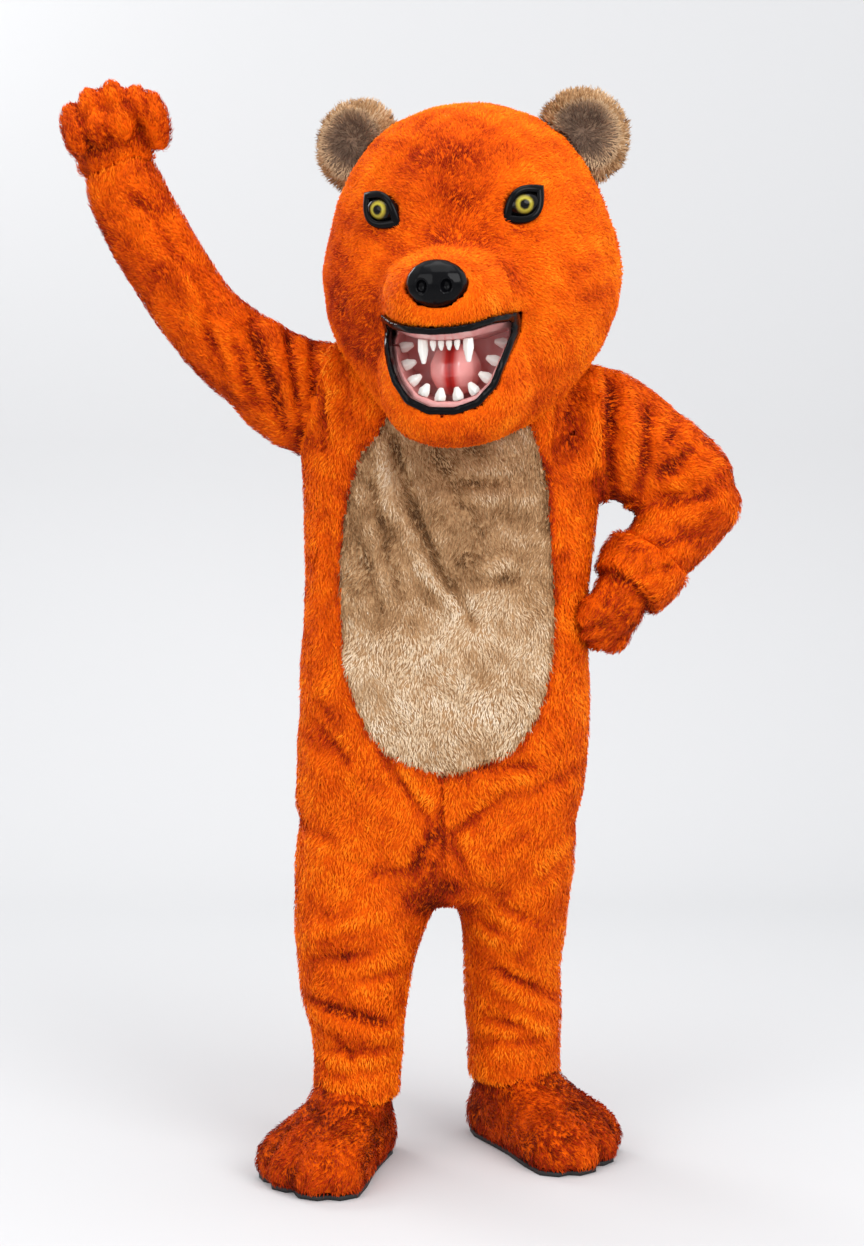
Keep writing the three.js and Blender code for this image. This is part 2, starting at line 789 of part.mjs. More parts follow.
function snout(rows, inset, squareness) {
  const skin = rows.map((row) => {
    const centre = new THREE.Vector3(0, row.y, (row.top + row.bottom) / 2);
    const width = row.width - inset;
    const height = (row.top - row.bottom) / 2 - inset;
    return sectionRing(centre, xAxis, zAxis, width, height, squareness, facets.snout, false);
  });
  return toSolid(ringGeometry(skin));
}

// The mouth's edge, drawn in towards its middle by an inset
function mouthOutline(inset) {
  const points = mouthEdge.map((row) => new THREE.Vector3(row.x, row.z, 0));
  const curve = new THREE.CatmullRomCurve3(points, true, 'centripetal');
  const count = facets.mouth;
  const across = 1 - inset / mouth.halfWidth;
  const tall = 1 - inset / mouth.halfHeight;
  return Array.from({ length: count }, (_, i) => {
    const point = curve.getPoint(i / count);
    return [point.x * across, mouth.z + (point.y - mouth.z) * tall];
  }).reverse();
}

function mouthPrism(inset, fromY, toY) {
  return frontPrism(mouthOutline(inset), fromY, toY);
}

// How far forward a form reaches at a place, found with a thin probe along y
function frontOf(form, x, z) {
  return block([x - 0.5, -far, z - 0.5], [x + 0.5, 0, z + 0.5]).intersect(form).boundingBox().min[1];
}

function headForms(grow) {
  return joined([
    skull(-grow, facets.skull),
    snout(muzzleSections, -grow, squareness.muzzle),
    snout(jawSections, -grow, squareness.jaw),
  ]);
}

function shifted(solid, y) {
  return solid.translate([0, y, 0]);
}

function eyePieces(side, skullForm) {
  const x = side * eye.x;
  const y = frontOf(skullForm, x, eye.z) + eye.sunk;
  const place = new THREE.Matrix4().makeTranslation(x, y, eye.z);
  place.multiply(new THREE.Matrix4().makeRotationZ(side * eye.facing));
  place.multiply(new THREE.Matrix4().makeRotationY(-side * eye.slant));
  const ring = new THREE.TorusGeometry(1, eye.rim / eye.width, ...facets.lid);
  ring.rotateX(Math.PI / 2);
  ring.scale(eye.width, eye.width, eye.height);
  ring.translate(0, -eye.sunk, 0);
  ring.applyMatrix4(place);
  const eyeball = ball(eye.width, eye.depth, eye.height, [0, 0, 0], place, facets.eye);
  const seat = new THREE.CylinderGeometry(1, 1, eye.seat, facets.socket);
  const seatGrow = 1 + (eye.rim + eye.seatGap) / eye.width;
  seat.scale(eye.width * seatGrow, 1, eye.height * seatGrow);
  seat.translate(0, -eye.sunk + eye.rim + seamGap - eye.seat / 2, 0);
  seat.applyMatrix4(place);
  const grown = [eye.width + seamGap, eye.depth + seamGap, eye.height + seamGap];
  const eyeGap = ball(...grown, [0, 0, 0], place, facets.eye);
  return {
    eyeball,
    rim: toSolid(ring).subtract(eyeGap),
    socket: toSolid(seat).add(eyeGap),
  };
}

function earPieces(side, skullGap) {
  const place = new THREE.Matrix4().makeTranslation(side * ear.x, ear.y, ear.z);
  place.multiply(new THREE.Matrix4().makeRotationZ(side * ear.lean));
  const front = [0, -ear.depth, 0];
  const disc = ball(ear.radius, ear.depth, ear.radius, [0, 0, 0], place, facets.ear);
  const bowl = ball(ear.bowl, ear.bowlDepth, ear.bowl, front, place, facets.earDish);
  const padWidth = ear.bowl - seamGap;
  const pad = ball(padWidth, ear.bowlDepth - seamGap, padWidth, front, place, facets.earDish);
  const dishWidth = ear.bowl * ear.dish;
  const dishAt = [0, -ear.depth - ear.padDepth, 0];
  const dish = ball(dishWidth, ear.bowlDepth, dishWidth, dishAt, place, facets.earDish);
  return {
    outer: largest(disc.subtract(bowl).subtract(skullGap)),
    inner: largest(pad.subtract(dish).subtract(skullGap)),
  };
}

// A tooth: short rings narrowing to a rounded point, standing on the gum and pointing into the mouth
function tooth(x, z, y, inward, length, radius) {
  const u = new THREE.Vector3(0, 1, 0);
  const along = new THREE.Vector3(inward.x, 0, inward.y).normalize();
  const v = new THREE.Vector3().crossVectors(along, u).normalize();
  const base = new THREE.Vector3(x, y, z);
  const rings = toothProfile.map((row) => {
    const centre = base.clone().addScaledVector(along, length * row.share - row.root);
    return sectionRing(centre, u, v, radius * row.width, radius * row.width, 2, facets.tooth, false);
  });
  return toSolid(ringGeometry(rings));
}

function toothPieces(forms) {
  const gumInset = mouth.lining + seamGap * 2 + mouth.gum;
  const inside = mouthPrism(gumInset + seamGap, -far, mouth.back - mouth.plate - 2);
  const row = mouthOutline(gumInset);
  const topAt = (x) => row.filter((point) => point[1] > teeth.upperRow)
    .reduce((best, point) => (Math.abs(point[0] - x) < Math.abs(best[0] - x) ? point : best))[1];
  const frontAt = (x, z) => frontOf(forms, x, z) + mouth.lipDepth + teeth.behindLip;
  const list = {};
  const down = new THREE.Vector2(0, -1);
  [-1, 1].forEach((side) => {
    const x = side * teeth.canine.x;
    const y = frontAt(x, topAt(x));
    const name = `tooth_canine_${side < 0 ? 'right' : 'left'}`;
    list[name] = tooth(x, topAt(x), y, down, teeth.canine.length, teeth.canine.radius).intersect(inside);
  });
  teeth.incisor.x.forEach((x, i) => {
    const y = frontAt(x, topAt(x));
    const solid = tooth(x, topAt(x), y, down, teeth.incisor.length, teeth.incisor.radius);
    list[`tooth_upper_${i + 1}`] = solid.intersect(inside);
  });
  const gumLine = row.map((point) => new THREE.Vector3(point[0], point[1], 0));
  const curve = new THREE.CatmullRomCurve3(gumLine, true);
  const low = steps(0, 1, teeth.lower.samples).filter((t) => curve.getPointAt(t).y < teeth.lower.top);
  const lowRun = [Math.min(...low), Math.max(...low)];
  for (let i = 0; i < teeth.lower.count; i += 1) {
    const t = THREE.MathUtils.lerp(lowRun[0], lowRun[1], i / (teeth.lower.count - 1));
    const place = curve.getPointAt(t);
    const along = curve.getTangentAt(t);
    const middle = new THREE.Vector2(-place.x, mouth.z - place.y);
    const inward = new THREE.Vector2(along.y, -along.x);
    if (inward.dot(middle) < 0) inward.negate();
    const y = frontAt(place.x - inward.x * gumInset, place.y - inward.y * gumInset);
    const solid = tooth(place.x, place.y, y, inward, teeth.lower.length, teeth.lower.radius);
    list[`tooth_lower_${i + 1}`] = solid.intersect(inside);
  }
  return list;
}

function headPieces(suitGap) {
  const forms = headForms(0);
  const skullForm = skull(0, facets.skull);
  const skullGap = skull(-seamGap, facets.skull);
  const cavity = mouthPrism(0, -far, mouth.back);
  const behindMouth = mouthPrism(-mouthGrow, -far, mouth.back + headWall);
  const hollow = skull(headWall, facets.skullInside).subtract(behindMouth);
  const eyes = [-1, 1].map((side) => eyePieces(side, skullForm));
  const noseAt = new THREE.Matrix4().makeTranslation(0, nose.y, nose.z);
  const noseForm = ball(nose.width, nose.depth, nose.height, [0, 0, 0], noseAt, facets.nose);
  const noseSeat = [nose.width + seamGap, nose.depth + seamGap, nose.height + seamGap];
  const noseGap = ball(...noseSeat, [0, 0, 0], noseAt, facets.nose);
  const nostrils = [-1, 1].map((side) => {
    const offset = [side * nostril.x, -nose.depth, -nostril.drop];
    return ball(nostril.width, nostril.depth, nostril.height, offset, noseAt, facets.nostril);
  });
  const muzzleForm = snout(muzzleSections, 0, squareness.muzzle);
  const muzzleGap = snout(muzzleSections, -seamGap, squareness.muzzle);
  const jawForm = snout(jawSections, 0, squareness.jaw);

  let shell = skullForm.subtract(hollow).subtract(cavity).subtract(suitGap);
  eyes.forEach((parts) => { shell = shell.subtract(parts.socket); });
  const face = shell.intersect(block([-far, -far, -far], [far, headSeam, far]));
  const back = shell.intersect(block([-far, headSeam + seamGap, -far], [far, far, far]));
  const muzzle = muzzleForm.subtract(skullGap).subtract(cavity).subtract(noseGap);
  const jaw = jawForm.subtract(skullGap).subtract(cavity).subtract(muzzleGap).subtract(suitGap);

  const lipSkin = headForms(mouth.proud).subtract(shifted(forms, mouth.lipDepth));
  const lip = mouthPrism(seamGap, -far, mouth.back).subtract(mouthPrism(mouth.lip, -far, mouth.back + 1));
  const behindLip = shifted(forms, mouth.lipDepth + liningGap);
  const cup = mouthPrism(seamGap, -far, mouth.back - seamGap);
  const cupInside = mouthPrism(mouth.lining + seamGap, -far, mouth.back - mouth.plate);
  const gumEdge = mouth.lining + seamGap * 2;
  const gumBack = mouth.back - mouth.plate - seamGap;
  const gumBand = mouthPrism(gumEdge, -far, gumBack)
    .subtract(mouthPrism(gumEdge + mouth.gum, -far, gumBack + 1))
    .intersect(shifted(forms, mouth.lipDepth + mouth.gumBehind));
  const tongueAt = new THREE.Matrix4().makeTranslation(0, tongue.y, tongue.z);
  const tongueForm = ball(tongue.width, tongue.length, tongue.height, [0, 0, 0], tongueAt, facets.tongue);
  const grooveAt = [0, -tongue.length, groove.lift];
  const grooveForm = ball(groove.width, groove.depth, groove.height, grooveAt, tongueAt, facets.nostril);

  const above = block([-far, -far, gumSplit.upper], [far, far, far]);
  const below = block([-far, -far, -far], [far, far, gumSplit.lower]);
  const inFront = block([-far, -far, -far], [far, gumBack, far]);

  const pieces = {
    head_face: ['orangeFur', largest(face)],
    head_back: ['orangeFur', largest(back)],
    muzzle: ['orangeFur', largest(muzzle)],
    lower_jaw: ['orangeFur', largest(jaw)],
    nose: ['blackGloss', nostrils.reduce((solid, hole) => solid.subtract(hole), noseForm)],
    lip_rim: ['blackGloss', largest(lip.intersect(lipSkin))],
    mouth_lining: ['gumPink', largest(cup.intersect(behindLip).subtract(cupInside))],
    upper_gum: ['gumPink', largest(gumBand.intersect(above))],
    lower_gum: ['gumPink', largest(gumBand.intersect(below))],
    tongue: ['tonguePink', tongueForm.subtract(grooveForm).intersect(inFront)],
  };
  ['right', 'left'].forEach((name, i) => {
    const earParts = earPieces(i ? 1 : -1, skullGap);
    pieces[`ear_${name}`] = ['tanFur', earParts.outer];
    pieces[`ear_inner_${name}`] = ['darkFur', earParts.inner];
    pieces[`eyeball_${name}`] = ['eyeGloss', eyes[i].eyeball];
    pieces[`eyelid_${name}`] = ['blackGloss', largest(eyes[i].rim)];
  });
  Object.entries(toothPieces(forms)).forEach(([name, solid]) => { pieces[name] = ['toothIvory', solid]; });
  return pieces;
}

// Gloves, shaped round a loosely closed hand and cut along the side of the fingers
function handMatrix(glove) {
  const along = glove.along.clone().normalize();
  const back = glove.palm.clone().negate();
  back.addScaledVector(along, -back.dot(along)).normalize();
  const across = new THREE.Vector3().crossVectors(back, along);
  return new THREE.Matrix4().makeBasis(across, back, along).setPosition(glove.wrist);
}

function glovePieces(side, suitGap) {
  const glove = gloves[side];
  const place = handMatrix(glove);
  const lobe = (row) => ball(row.width, row.depth, row.height, [row.x, row.y, row.z], place, facets.lobe);
  const outer = joined([sleeve(glove.cuff, 0, facets.sleeve, 1, false, false), ...glove.lobes.map(lobe)]);
  const solid = outer.subtract(joined(glove.hollow.map(lobe))).subtract(suitGap);
  const halfSpace = (low, high) => {
    const geometry = new THREE.BoxGeometry(far, high - low, far);
    geometry.translate(0, (low + high) / 2, 0);
    geometry.applyMatrix4(place);
    return toSolid(geometry);
  };
  return {
    [`glove_palm_${side}`]: ['orangeFur', largest(solid.intersect(halfSpace(-far, -seamGap / 2)))],
    [`glove_back_${side}`]: ['orangeFur', largest(solid.intersect(halfSpace(seamGap / 2, far)))],
  };
}

// Boots, built of level rings from the sole's outline up to the ankle
function bootRings(side, rows, shrink, count) {
  const boot = boots[side];
  const turn = THREE.MathUtils.degToRad(boot.turn);
  const outline = bootOutline.map((row) => new THREE.Vector3(row.out, row.forward, 0));
  const curve = new THREE.CatmullRomCurve3(outline, true, 'centripetal');
  const middle = new THREE.Vector2(bootMiddle.out, bootMiddle.forward);
  return rows.map((row) => {
    const ring = [];
    for (let i = 0; i < count; i += 1) {
      const edge = curve.getPoint(i / count);
      const angle = Math.atan2(edge.y - middle.y, edge.x - middle.x);
      const out = new THREE.Vector2(Math.cos(angle), Math.sin(angle));
      const low = new THREE.Vector2(edge.x, edge.y).addScaledVector(out, row.swell - shrink);
      const shaft = new THREE.Vector2(bootShaft.width - shrink, bootShaft.depth - shrink).multiply(out);
      const local = low.lerp(shaft, row.inward);
      ring.push(new THREE.Vector3(
        boot.x + boot.side * (local.x * Math.cos(turn) + local.y * Math.sin(turn)),
        boot.y + local.x * Math.sin(turn) - local.y * Math.cos(turn),
        row.z,
      ));
    }
    return boot.side < 0 ? ring : ring.reverse();
  });
}

function bootPieces(side) {
  const outer = toSolid(ringGeometry(bootRings(side, bootRise, 0, facets.boot)));
  const floor = bootRise[0].z;
  const lift = (row) => ({ ...row, z: floor + bootInside.sole + (row.z - floor) * bootInside.rise });
  const innerRows = bootRise.map(lift);
  innerRows.push({ z: bootInside.top, inward: 1, swell: 0 });
  const inner = toSolid(ringGeometry(bootRings(side, innerRows, bootInside.wall, facets.bootInside)));
  const legWall = leg(legs[side], -seamGap, facets.leg, true).translate([0, 0, -seamGap])
    .subtract(leg(legs[side], furWall + seamGap, facets.legInside, false));
  const soleRows = [0, sole.thickness].map((z) => ({ z, inward: 0, swell: -sole.set }));
  const soleForm = toSolid(ringGeometry(bootRings(side, soleRows, 0, facets.boot)));
  return {
    [`boot_${side}`]: ['orangeFur', largest(outer.subtract(inner).subtract(legWall))],
    [`boot_sole_${side}`]: ['blackRubber', soleForm],
  };
}

// The costume, standing on the floor in its wearer's pose
const costume = new THREE.Group();
const standing = new THREE.Group();
standing.position.z = -neckHeight;
costume.add(standing);

const headFrame = new THREE.Group();
headFrame.position.copy(head.position);
headFrame.rotation.set(0, head.tilt, head.turn);
headFrame.updateMatrix();
standing.add(headFrame);

function addPieces(parent, pieces) {
  Object.entries(pieces).forEach(([name, [finish, solid]]) => {
    const mesh = new THREE.Mesh(toGeometry(solid), new THREE.MeshStandardMaterial(finishes[finish]));
    mesh.name = name;
    parent.add(mesh);
  });
}

const suitGap = suitOuter(seamGap);
const suitInHead = toSolid(toGeometry(suitGap).applyMatrix4(headFrame.matrix.clone().invert()));

addPieces(standing, suitPieces());
addPieces(headFrame, headPieces(suitInHead));
['right', 'left'].forEach((side) => {
  addPieces(standing, glovePieces(side, suitGap));
  addPieces(standing, bootPieces(side));
});

export default costume;
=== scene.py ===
# %% [markdown]
# # A bear mascot costume
# A fur suit with a tan belly, a hollow head with an open mouth, two gloves and two boots, held as its
# wearer held it: one fist up, one hand on the hip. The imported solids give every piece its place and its
# wall. This file turns them into fur cloth, vinyl, latex, plastic and rubber, one kind at a time.

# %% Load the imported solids
import math
import bmesh
import bpy
import numpy as np
from mathutils import Matrix, Vector
from mathutils.bvhtree import BVHTree


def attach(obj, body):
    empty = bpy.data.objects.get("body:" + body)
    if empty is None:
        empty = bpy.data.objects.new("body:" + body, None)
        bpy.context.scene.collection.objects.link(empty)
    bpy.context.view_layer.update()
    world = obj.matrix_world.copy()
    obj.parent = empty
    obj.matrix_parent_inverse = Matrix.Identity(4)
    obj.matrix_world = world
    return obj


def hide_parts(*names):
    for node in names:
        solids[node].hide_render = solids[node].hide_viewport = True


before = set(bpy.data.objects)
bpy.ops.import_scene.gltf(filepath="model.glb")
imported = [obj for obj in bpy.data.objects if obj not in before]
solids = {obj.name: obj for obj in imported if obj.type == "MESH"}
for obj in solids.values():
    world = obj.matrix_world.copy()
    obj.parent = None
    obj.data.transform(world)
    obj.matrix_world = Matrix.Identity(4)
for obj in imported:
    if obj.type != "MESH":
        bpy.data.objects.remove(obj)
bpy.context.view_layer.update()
scene = bpy.context.scene

# %% Meshes and objects made ready for the scene


def mesh_from(bm, name):
    """The mesh that a bmesh holds. The bmesh is let go."""
    mesh = bpy.data.meshes.new(name)
    bm.to_mesh(mesh)
    bm.free()
    return mesh


def link(piece):
    scene.collection.objects.link(piece)
    return piece


print("ready to build")

# %% [markdown]
# ## Camera, floor and light
# The photograph is a studio shot: a pale sweep of paper, a camera at chest height about four and a half
# metres away, and big soft lamps. The camera stands at that height and looks hardly down at all. The lens
# shift keeps the upright lines upright, as a studio photographer would.

# %% Camera
# The part's frame has its middle at the base of the neck, this high above the floor.
NECK = 1.423


def make_camera():
    lens = bpy.data.cameras.new("camera")
    lens.lens = 73.4
    lens.sensor_width = 36
    lens.shift_y = -0.146
    camera = link(bpy.data.objects.new("camera", lens))
    camera.location = (-0.023, -4.5, 1.35 - NECK)
    camera.rotation_euler = (math.radians(89), 0, 0)
    scene.camera = camera
    return camera


print("camera at", tuple(make_camera().location))

# %% A roll of paper, down the wall and out over a floor of the same colour
paper_width = 4
paper_front = -7
curve_start = 2.2
curve_radius = 1.2
wall_height = 6


def points_in(geometry):
    return [item for item in geometry if isinstance(item, bmesh.types.BMVert)]


def make_sweep():
    bm = bmesh.new()
    start = [bm.verts.new((-paper_width / 2, y, 0)) for y in (paper_front, curve_start)]
    bm.edges.new(start)
    centre = (0, curve_start, curve_radius)
    turned = bmesh.ops.spin(bm, geom=[start[1]], cent=centre, axis=(1, 0, 0), angle=math.pi / 2, steps=16)
    top = bmesh.ops.extrude_vert_indiv(bm, verts=points_in(turned["geom_last"]))["verts"]
    bmesh.ops.translate(bm, verts=top, vec=(0, 0, wall_height))
    grown = bmesh.ops.extrude_edge_only(bm, edges=bm.edges[:])["geom"]
    bmesh.ops.translate(bm, verts=points_in(grown), vec=(paper_width, 0, 0))
    bmesh.ops.remove_doubles(bm, verts=bm.verts, dist=1e-4)
    bmesh.ops.recalc_face_normals(bm, faces=bm.faces)
    under_paper = Matrix.Translation((0, 0, -0.002))
    bmesh.ops.create_grid(bm, x_segments=1, y_segments=1, size=9, matrix=under_paper)
    bmesh.ops.translate(bm, verts=bm.verts, vec=(0, 0, -NECK))
    mesh = mesh_from(bm, "sweep")
    mesh.shade_smooth()
    sweep = link(bpy.data.objects.new("sweep", mesh))
    return sweep


sweep = make_sweep()
print("sweep faces", len(sweep.data.polygons))

# %% Lamps
lamps = [
    # name, place, aim, size, watts
    ("key", (2.7, -3.4, 1.7), (0, 0, -0.2), 3.0, 130),
    ("fill", (-3.0, -3.4, 0.9), (0, 0, -0.3), 3.2, 66),
    ("top", (0, -0.7, 3.2), (0, 0.2, 0), 3.6, 80),
    ("rim", (-2.4, 2.6, 1.8), (0, 0, 0), 1.6, 45),
]


def make_lamp(name, place, aim, size, watts):
    light = bpy.data.lights.new(name, "AREA")
    light.shape = "DISK"
    light.size = size
    light.energy = watts
    lamp = link(bpy.data.objects.new(name, light))
    lamp.location = place
    lamp.rotation_euler = (Vector(aim) - Vector(place)).to_track_quat("-Z", "Y").to_euler()


for row in lamps:
    make_lamp(*row)
world = bpy.data.worlds.new("studio")
world.use_nodes = True
glow = world.node_tree.nodes["Background"].inputs
glow["Color"].default_value = (0.96, 0.97, 1, 1)
glow["Strength"].default_value = 0.95
scene.world = world
scene.view_settings.view_transform = "Standard"
print(len(lamps), "lamps")

# %% [markdown]
# ## Materials as sums
# A material is a small sum: a base colour times a pattern, plus a little noise. Wiring that by hand takes
# dozens of nodes, so one class wraps a socket and lets it be added, subtracted and multiplied like a
# number, and another makes any other node from its type, its settings and its inputs.

# %% A socket that can be used in sums


class Wire:
    def __init__(self, finish, socket):
        self.finish = finish
        self.socket = socket

    def __add__(self, other):
        return self.finish.sum_of("ADD", self, other)

    def __sub__(self, other):
        return self.finish.sum_of("SUBTRACT", self, other)

    def __mul__(self, other):
        return self.finish.sum_of("MULTIPLY", self, other)


def shade(red, green, blue):
    """A colour as a screen shows it, from 0 to 255, made linear."""
    parts = [c / 255 for c in (red, green, blue)]
    return tuple(c / 12.92 if c < 0.04045 else ((c + 0.055) / 1.055) ** 2.4 for c in parts) + (1.0,)


class Finish:
    def __init__(self, name, **constants):
        self.material = bpy.data.materials.new(name)
        self.material.use_nodes = True
        self.tree = self.material.node_tree
        self.shader = self.tree.nodes["Principled BSDF"]
        for socket, value in constants.items():
            self.shader.inputs[socket.replace("_", " ")].default_value = value

    def node(self, kind, settings=None, inputs=None, output=0):
        made = self.tree.nodes.new(kind)
        for name, value in (settings or {}).items():
            if name == "stops":
                self.set_stops(made.color_ramp, value)
            else:
                setattr(made, name, value)
        for name, value in (inputs or {}).items():
            self.join(made.inputs[name], value)
        return Wire(self, made.outputs[output])

    def join(self, socket, value):
        if isinstance(value, Wire):
            self.tree.links.new(value.socket, socket)
        else:
            socket.default_value = value

    def set_stops(self, ramp, stops):
        while len(ramp.elements) < len(stops):
            ramp.elements.new(0.5)
        for element, (place, colour) in zip(ramp.elements, stops):
            element.position = place
            element.color = colour

    def place(self):
        return self.node("ShaderNodeTexCoord", output="Object")

    def sum_of(self, operation, first, second=0.0):
        return self.node("ShaderNodeMath", {"operation": operation}, {0: first, 1: second})

    def vector_of(self, operation, first, second=(0.0, 0.0, 0.0), output=0):
        return self.node("ShaderNodeVectorMath", {"operation": operation}, {0: first, 1: second}, output)

    def sum_along(self, axis, start):
        """How far each point lies along an axis from a start."""
        apart = self.vector_of("SUBTRACT", self.place(), start)
        return self.vector_of("DOT_PRODUCT", apart, axis, output=1)

    def noise(self, scale, detail=2.0, roughness=0.5):
        inputs = {"Vector": self.place(), "Scale": scale, "Detail": detail, "Roughness": roughness}
        return self.node("ShaderNodeTexNoise", None, inputs)

    def mix(self, share, low, high, blend="MIX"):
        """Two colours mixed. The node's inputs 6 and 7 and its output 2 are the ones for colours."""
        settings = {"data_type": "RGBA", "blend_type": blend, "clamp_factor": True}
        return self.node("ShaderNodeMix", settings, {0: share, 6: low, 7: high}, output=2)

    def ramp(self, value, stops):
        return self.node("ShaderNodeValToRGB", {"stops": stops}, {0: value})

    def done(self, colour, grain=None, strength=0.0, distance=0.0):
        """The material with its colour, and with a grain where it has one."""
        self.join(self.shader.inputs["Base Color"], colour)
        if grain:
            inputs = {"Strength": strength, "Distance": distance, "Height": grain}
            self.join(self.shader.inputs["Normal"], self.node("ShaderNodeBump", None, inputs))
        return self.material


print("sums ready")

# %% [markdown]
# ## Fur colours
# Short-pile faux fur lies in shade down at its backing, so every tuft gets painted shade at its root and is
# palest at its tip; its nap, brushed one way or another, shows as lighter and darker patches. Every tuft
# keeps its own tone across its map, from left to right, and its height from bottom to top, so that one small
# picture can hold all the fur's colours.

# %% Tone ramps of the three furs


def stops(*rows):
    """The stops of a ramp: each one's place, and its colour as a screen shows it."""
    return [(place, shade(*colour)) for place, *colour in rows]


tones = {
    "orange_fur": stops((0.0, 96, 16, 0), (0.25, 172, 44, 0), (0.5, 232, 92, 0), (0.75, 255, 124, 6),
                        (1.0, 255, 150, 30)),
    "tan_fur": stops((0.0, 84, 56, 34), (0.25, 140, 100, 64), (0.5, 188, 148, 106),
                     (0.75, 228, 202, 168), (1.0, 244, 228, 204)),
    "dark_fur": stops((0.0, 58, 46, 40), (0.4, 104, 84, 70), (0.7, 150, 122, 96), (1.0, 190, 160, 126)),
}


def fur_finish(name):
    finish = Finish(name, Roughness=0.7, Sheen_Weight=0.05, Sheen_Roughness=0.4, Specular_IOR_Level=0.08)
    finish.shader.inputs["Sheen Tint"].default_value = tones[name][-2][1]
    spot = finish.node("ShaderNodeUVMap", {"uv_map": "OFBake"})
    across = finish.node("ShaderNodeSeparateXYZ", None, {0: spot})
    up = Wire(finish, across.socket.node.outputs[1])
    # Painted shade: each tuft is multiplied darker towards its root, where the pile shades itself.
    painted_root_shade = [(0.0, (0.5, 0.42, 0.38, 1)), (0.45, (0.88, 0.85, 0.82, 1)), (1.0, (1, 1, 1, 1))]
    root = finish.ramp(up, painted_root_shade)
    return finish.done(finish.mix(1.0, finish.ramp(across, tones[name]), root, "MULTIPLY"))


def backing_finish(name):
    finish = Finish(name + "_backing", Roughness=0.9, Specular_IOR_Level=0.1)
    patch = finish.noise(9.0, 4.0, 0.6)
    strand = finish.noise(190.0, 2.0, 0.6)
    fine = finish.noise(260.0, 3.0, 0.7)
    return finish.done(finish.ramp(patch * 0.5 + strand * 0.4, tones[name]), fine, 0.6, 0.004)


furs = {name: fur_finish(name) for name in tones}
backings = {name: backing_finish(name) for name in tones}
print("furs", list(furs))

# %% Paper of the sweep
paper = Finish("paper", Roughness=0.8, Specular_IOR_Level=0.2)
sweep.data.materials.append(paper.done((0.58, 0.584, 0.588, 1)))

# %% [markdown]
# ## Cloth on its solid
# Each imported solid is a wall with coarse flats, and its outer face is where the fur's tips reach. Lines
# down the middle of the body and the limbs tell outside from inside, and which way a limb runs.

# %% Points measured against lines down the middle of the limbs


def nearest_on_lines(points, lines):
    """The nearest place on lines of points, each with its limb's radius, and the line's way there."""
    points = np.asarray(points)
    best = np.full(len(points), np.inf)
    place = np.zeros((len(points), 3))
    heading = np.zeros((len(points), 3))
    for radius, line in lines:
        line = np.asarray(line, float)
        for start, end in zip(line[:-1], line[1:]):
            run = end - start
            share = np.clip(((points - start) @ run) / (run @ run), 0, 1)
            spot = start + share[:, None] * run
            gap = np.linalg.norm(points - spot, axis=1) / radius
            near = gap < best
            best[near] = gap[near]
            place[near] = spot[near]
            heading[near] = run / np.linalg.norm(run)
    return place, heading


def unit(vectors):
    return vectors / np.maximum(np.linalg.norm(vectors, axis=1, keepdims=True), 1e-9)


def at_floor(*rows):
    """Places given in millimetres above the floor, as metres in the part's frame."""
    return [(x / 1000, y / 1000, z / 1000 - NECK) for x, y, z in rows]


head_turn = Matrix.Rotation(math.radians(-1.5), 3, "Y") @ Matrix.Rotation(math.radians(-10), 3, "Z")
head_place = Vector((0.048, -0.020, 1.565 - NECK))


def on_head(*rows):
    """Places given in millimetres in the head's own frame, as metres in the part's frame."""
    return [tuple(head_turn @ Vector((x / 1000, y / 1000, z / 1000)) + head_place) for x, y, z in rows]


# %% Lines down the middle of the body, the limbs and the head
body_line = (0.20, at_floor((0, 0, 1480), (0, 0, 660)))
leg_line = {
    "right": (0.11, at_floor((-120, 0, 640), (-138, -8, 560), (-158, -20, 320), (-156, -28, 60))),
    "left": (0.11, at_floor((110, 0, 640), (118, 26, 530), (122, 68, 320), (124, 92, 60))),
}
arm_line = {
    "right": (0.09, at_floor((-200, 0, 1336), (-255, -2, 1354), (-328, -8, 1404), (-407, -14, 1464),
                             (-467, -18, 1543), (-520, -22, 1630), (-558, -25, 1706), (-590, -25, 1800))),
    "left": (0.09, at_floor((200, 5, 1320), (268, 8, 1288), (330, 14, 1262), (385, 22, 1232),
                            (440, 28, 1195), (452, 24, 1166), (408, 8, 1112), (366, -11, 1068),
                            (332, -31, 1027))),
}
foot_line = {
    "right": (0.08, at_floor((-157, -28, 260), (-158, -36, 90), (-170, -90, 50), (-226, -210, 45))),
    "left": (0.08, at_floor((126, 90, 260), (128, 80, 90), (146, 40, 50), (236, -70, 45))),
}
hand_line = {
    "right": (0.08, at_floor((-540, -24, 1660), (-566, -27, 1760), (-588, -32, 1860))),
    "left": (0.08, at_floor((370, -10, 1080), (330, -36, 1020), (290, -62, 960))),
}
head_line = (0.2, on_head((0, 60, 170), (0, 40, 60), (0, -60, 20), (0, -260, -60)))
ear_line = {
    "right": (0.05, on_head((-196, 40, 226), (-204, -12, 244))),
    "left": (0.05, on_head((196, 40, 226), (204, -12, 244))),
}


def lines_of(node):
    side = "right" if node.endswith("right") else "left"
    own = {"sleeve": arm_line, "glove": hand_line, "boot": foot_line, "ear": ear_line}
    kind = node.split("_")[0]
    if kind in own:
        return [own[kind][side]]
    if kind == "belly":
        return [body_line]
    return [body_line, leg_line[side]] if kind in ("suit", "leg") else [head_line]


print("lines for the suit's right front:", len(lines_of("suit_front_right")))

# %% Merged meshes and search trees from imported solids


def rows_of(items, key):
    """Three numbers for each item of a mesh."""
    flat = np.empty(len(items) * 3, np.float32)
    items.foreach_get(key, flat)
    return flat.reshape(-1, 3).astype(float)


def places_of(mesh):
    return rows_of(mesh.vertices, "co")


def normals_of(mesh):
    return rows_of(mesh.vertex_normals, "vector")


def set_places(mesh, points):
    mesh.vertices.foreach_set("co", points.astype(np.float32).ravel())
    mesh.update()


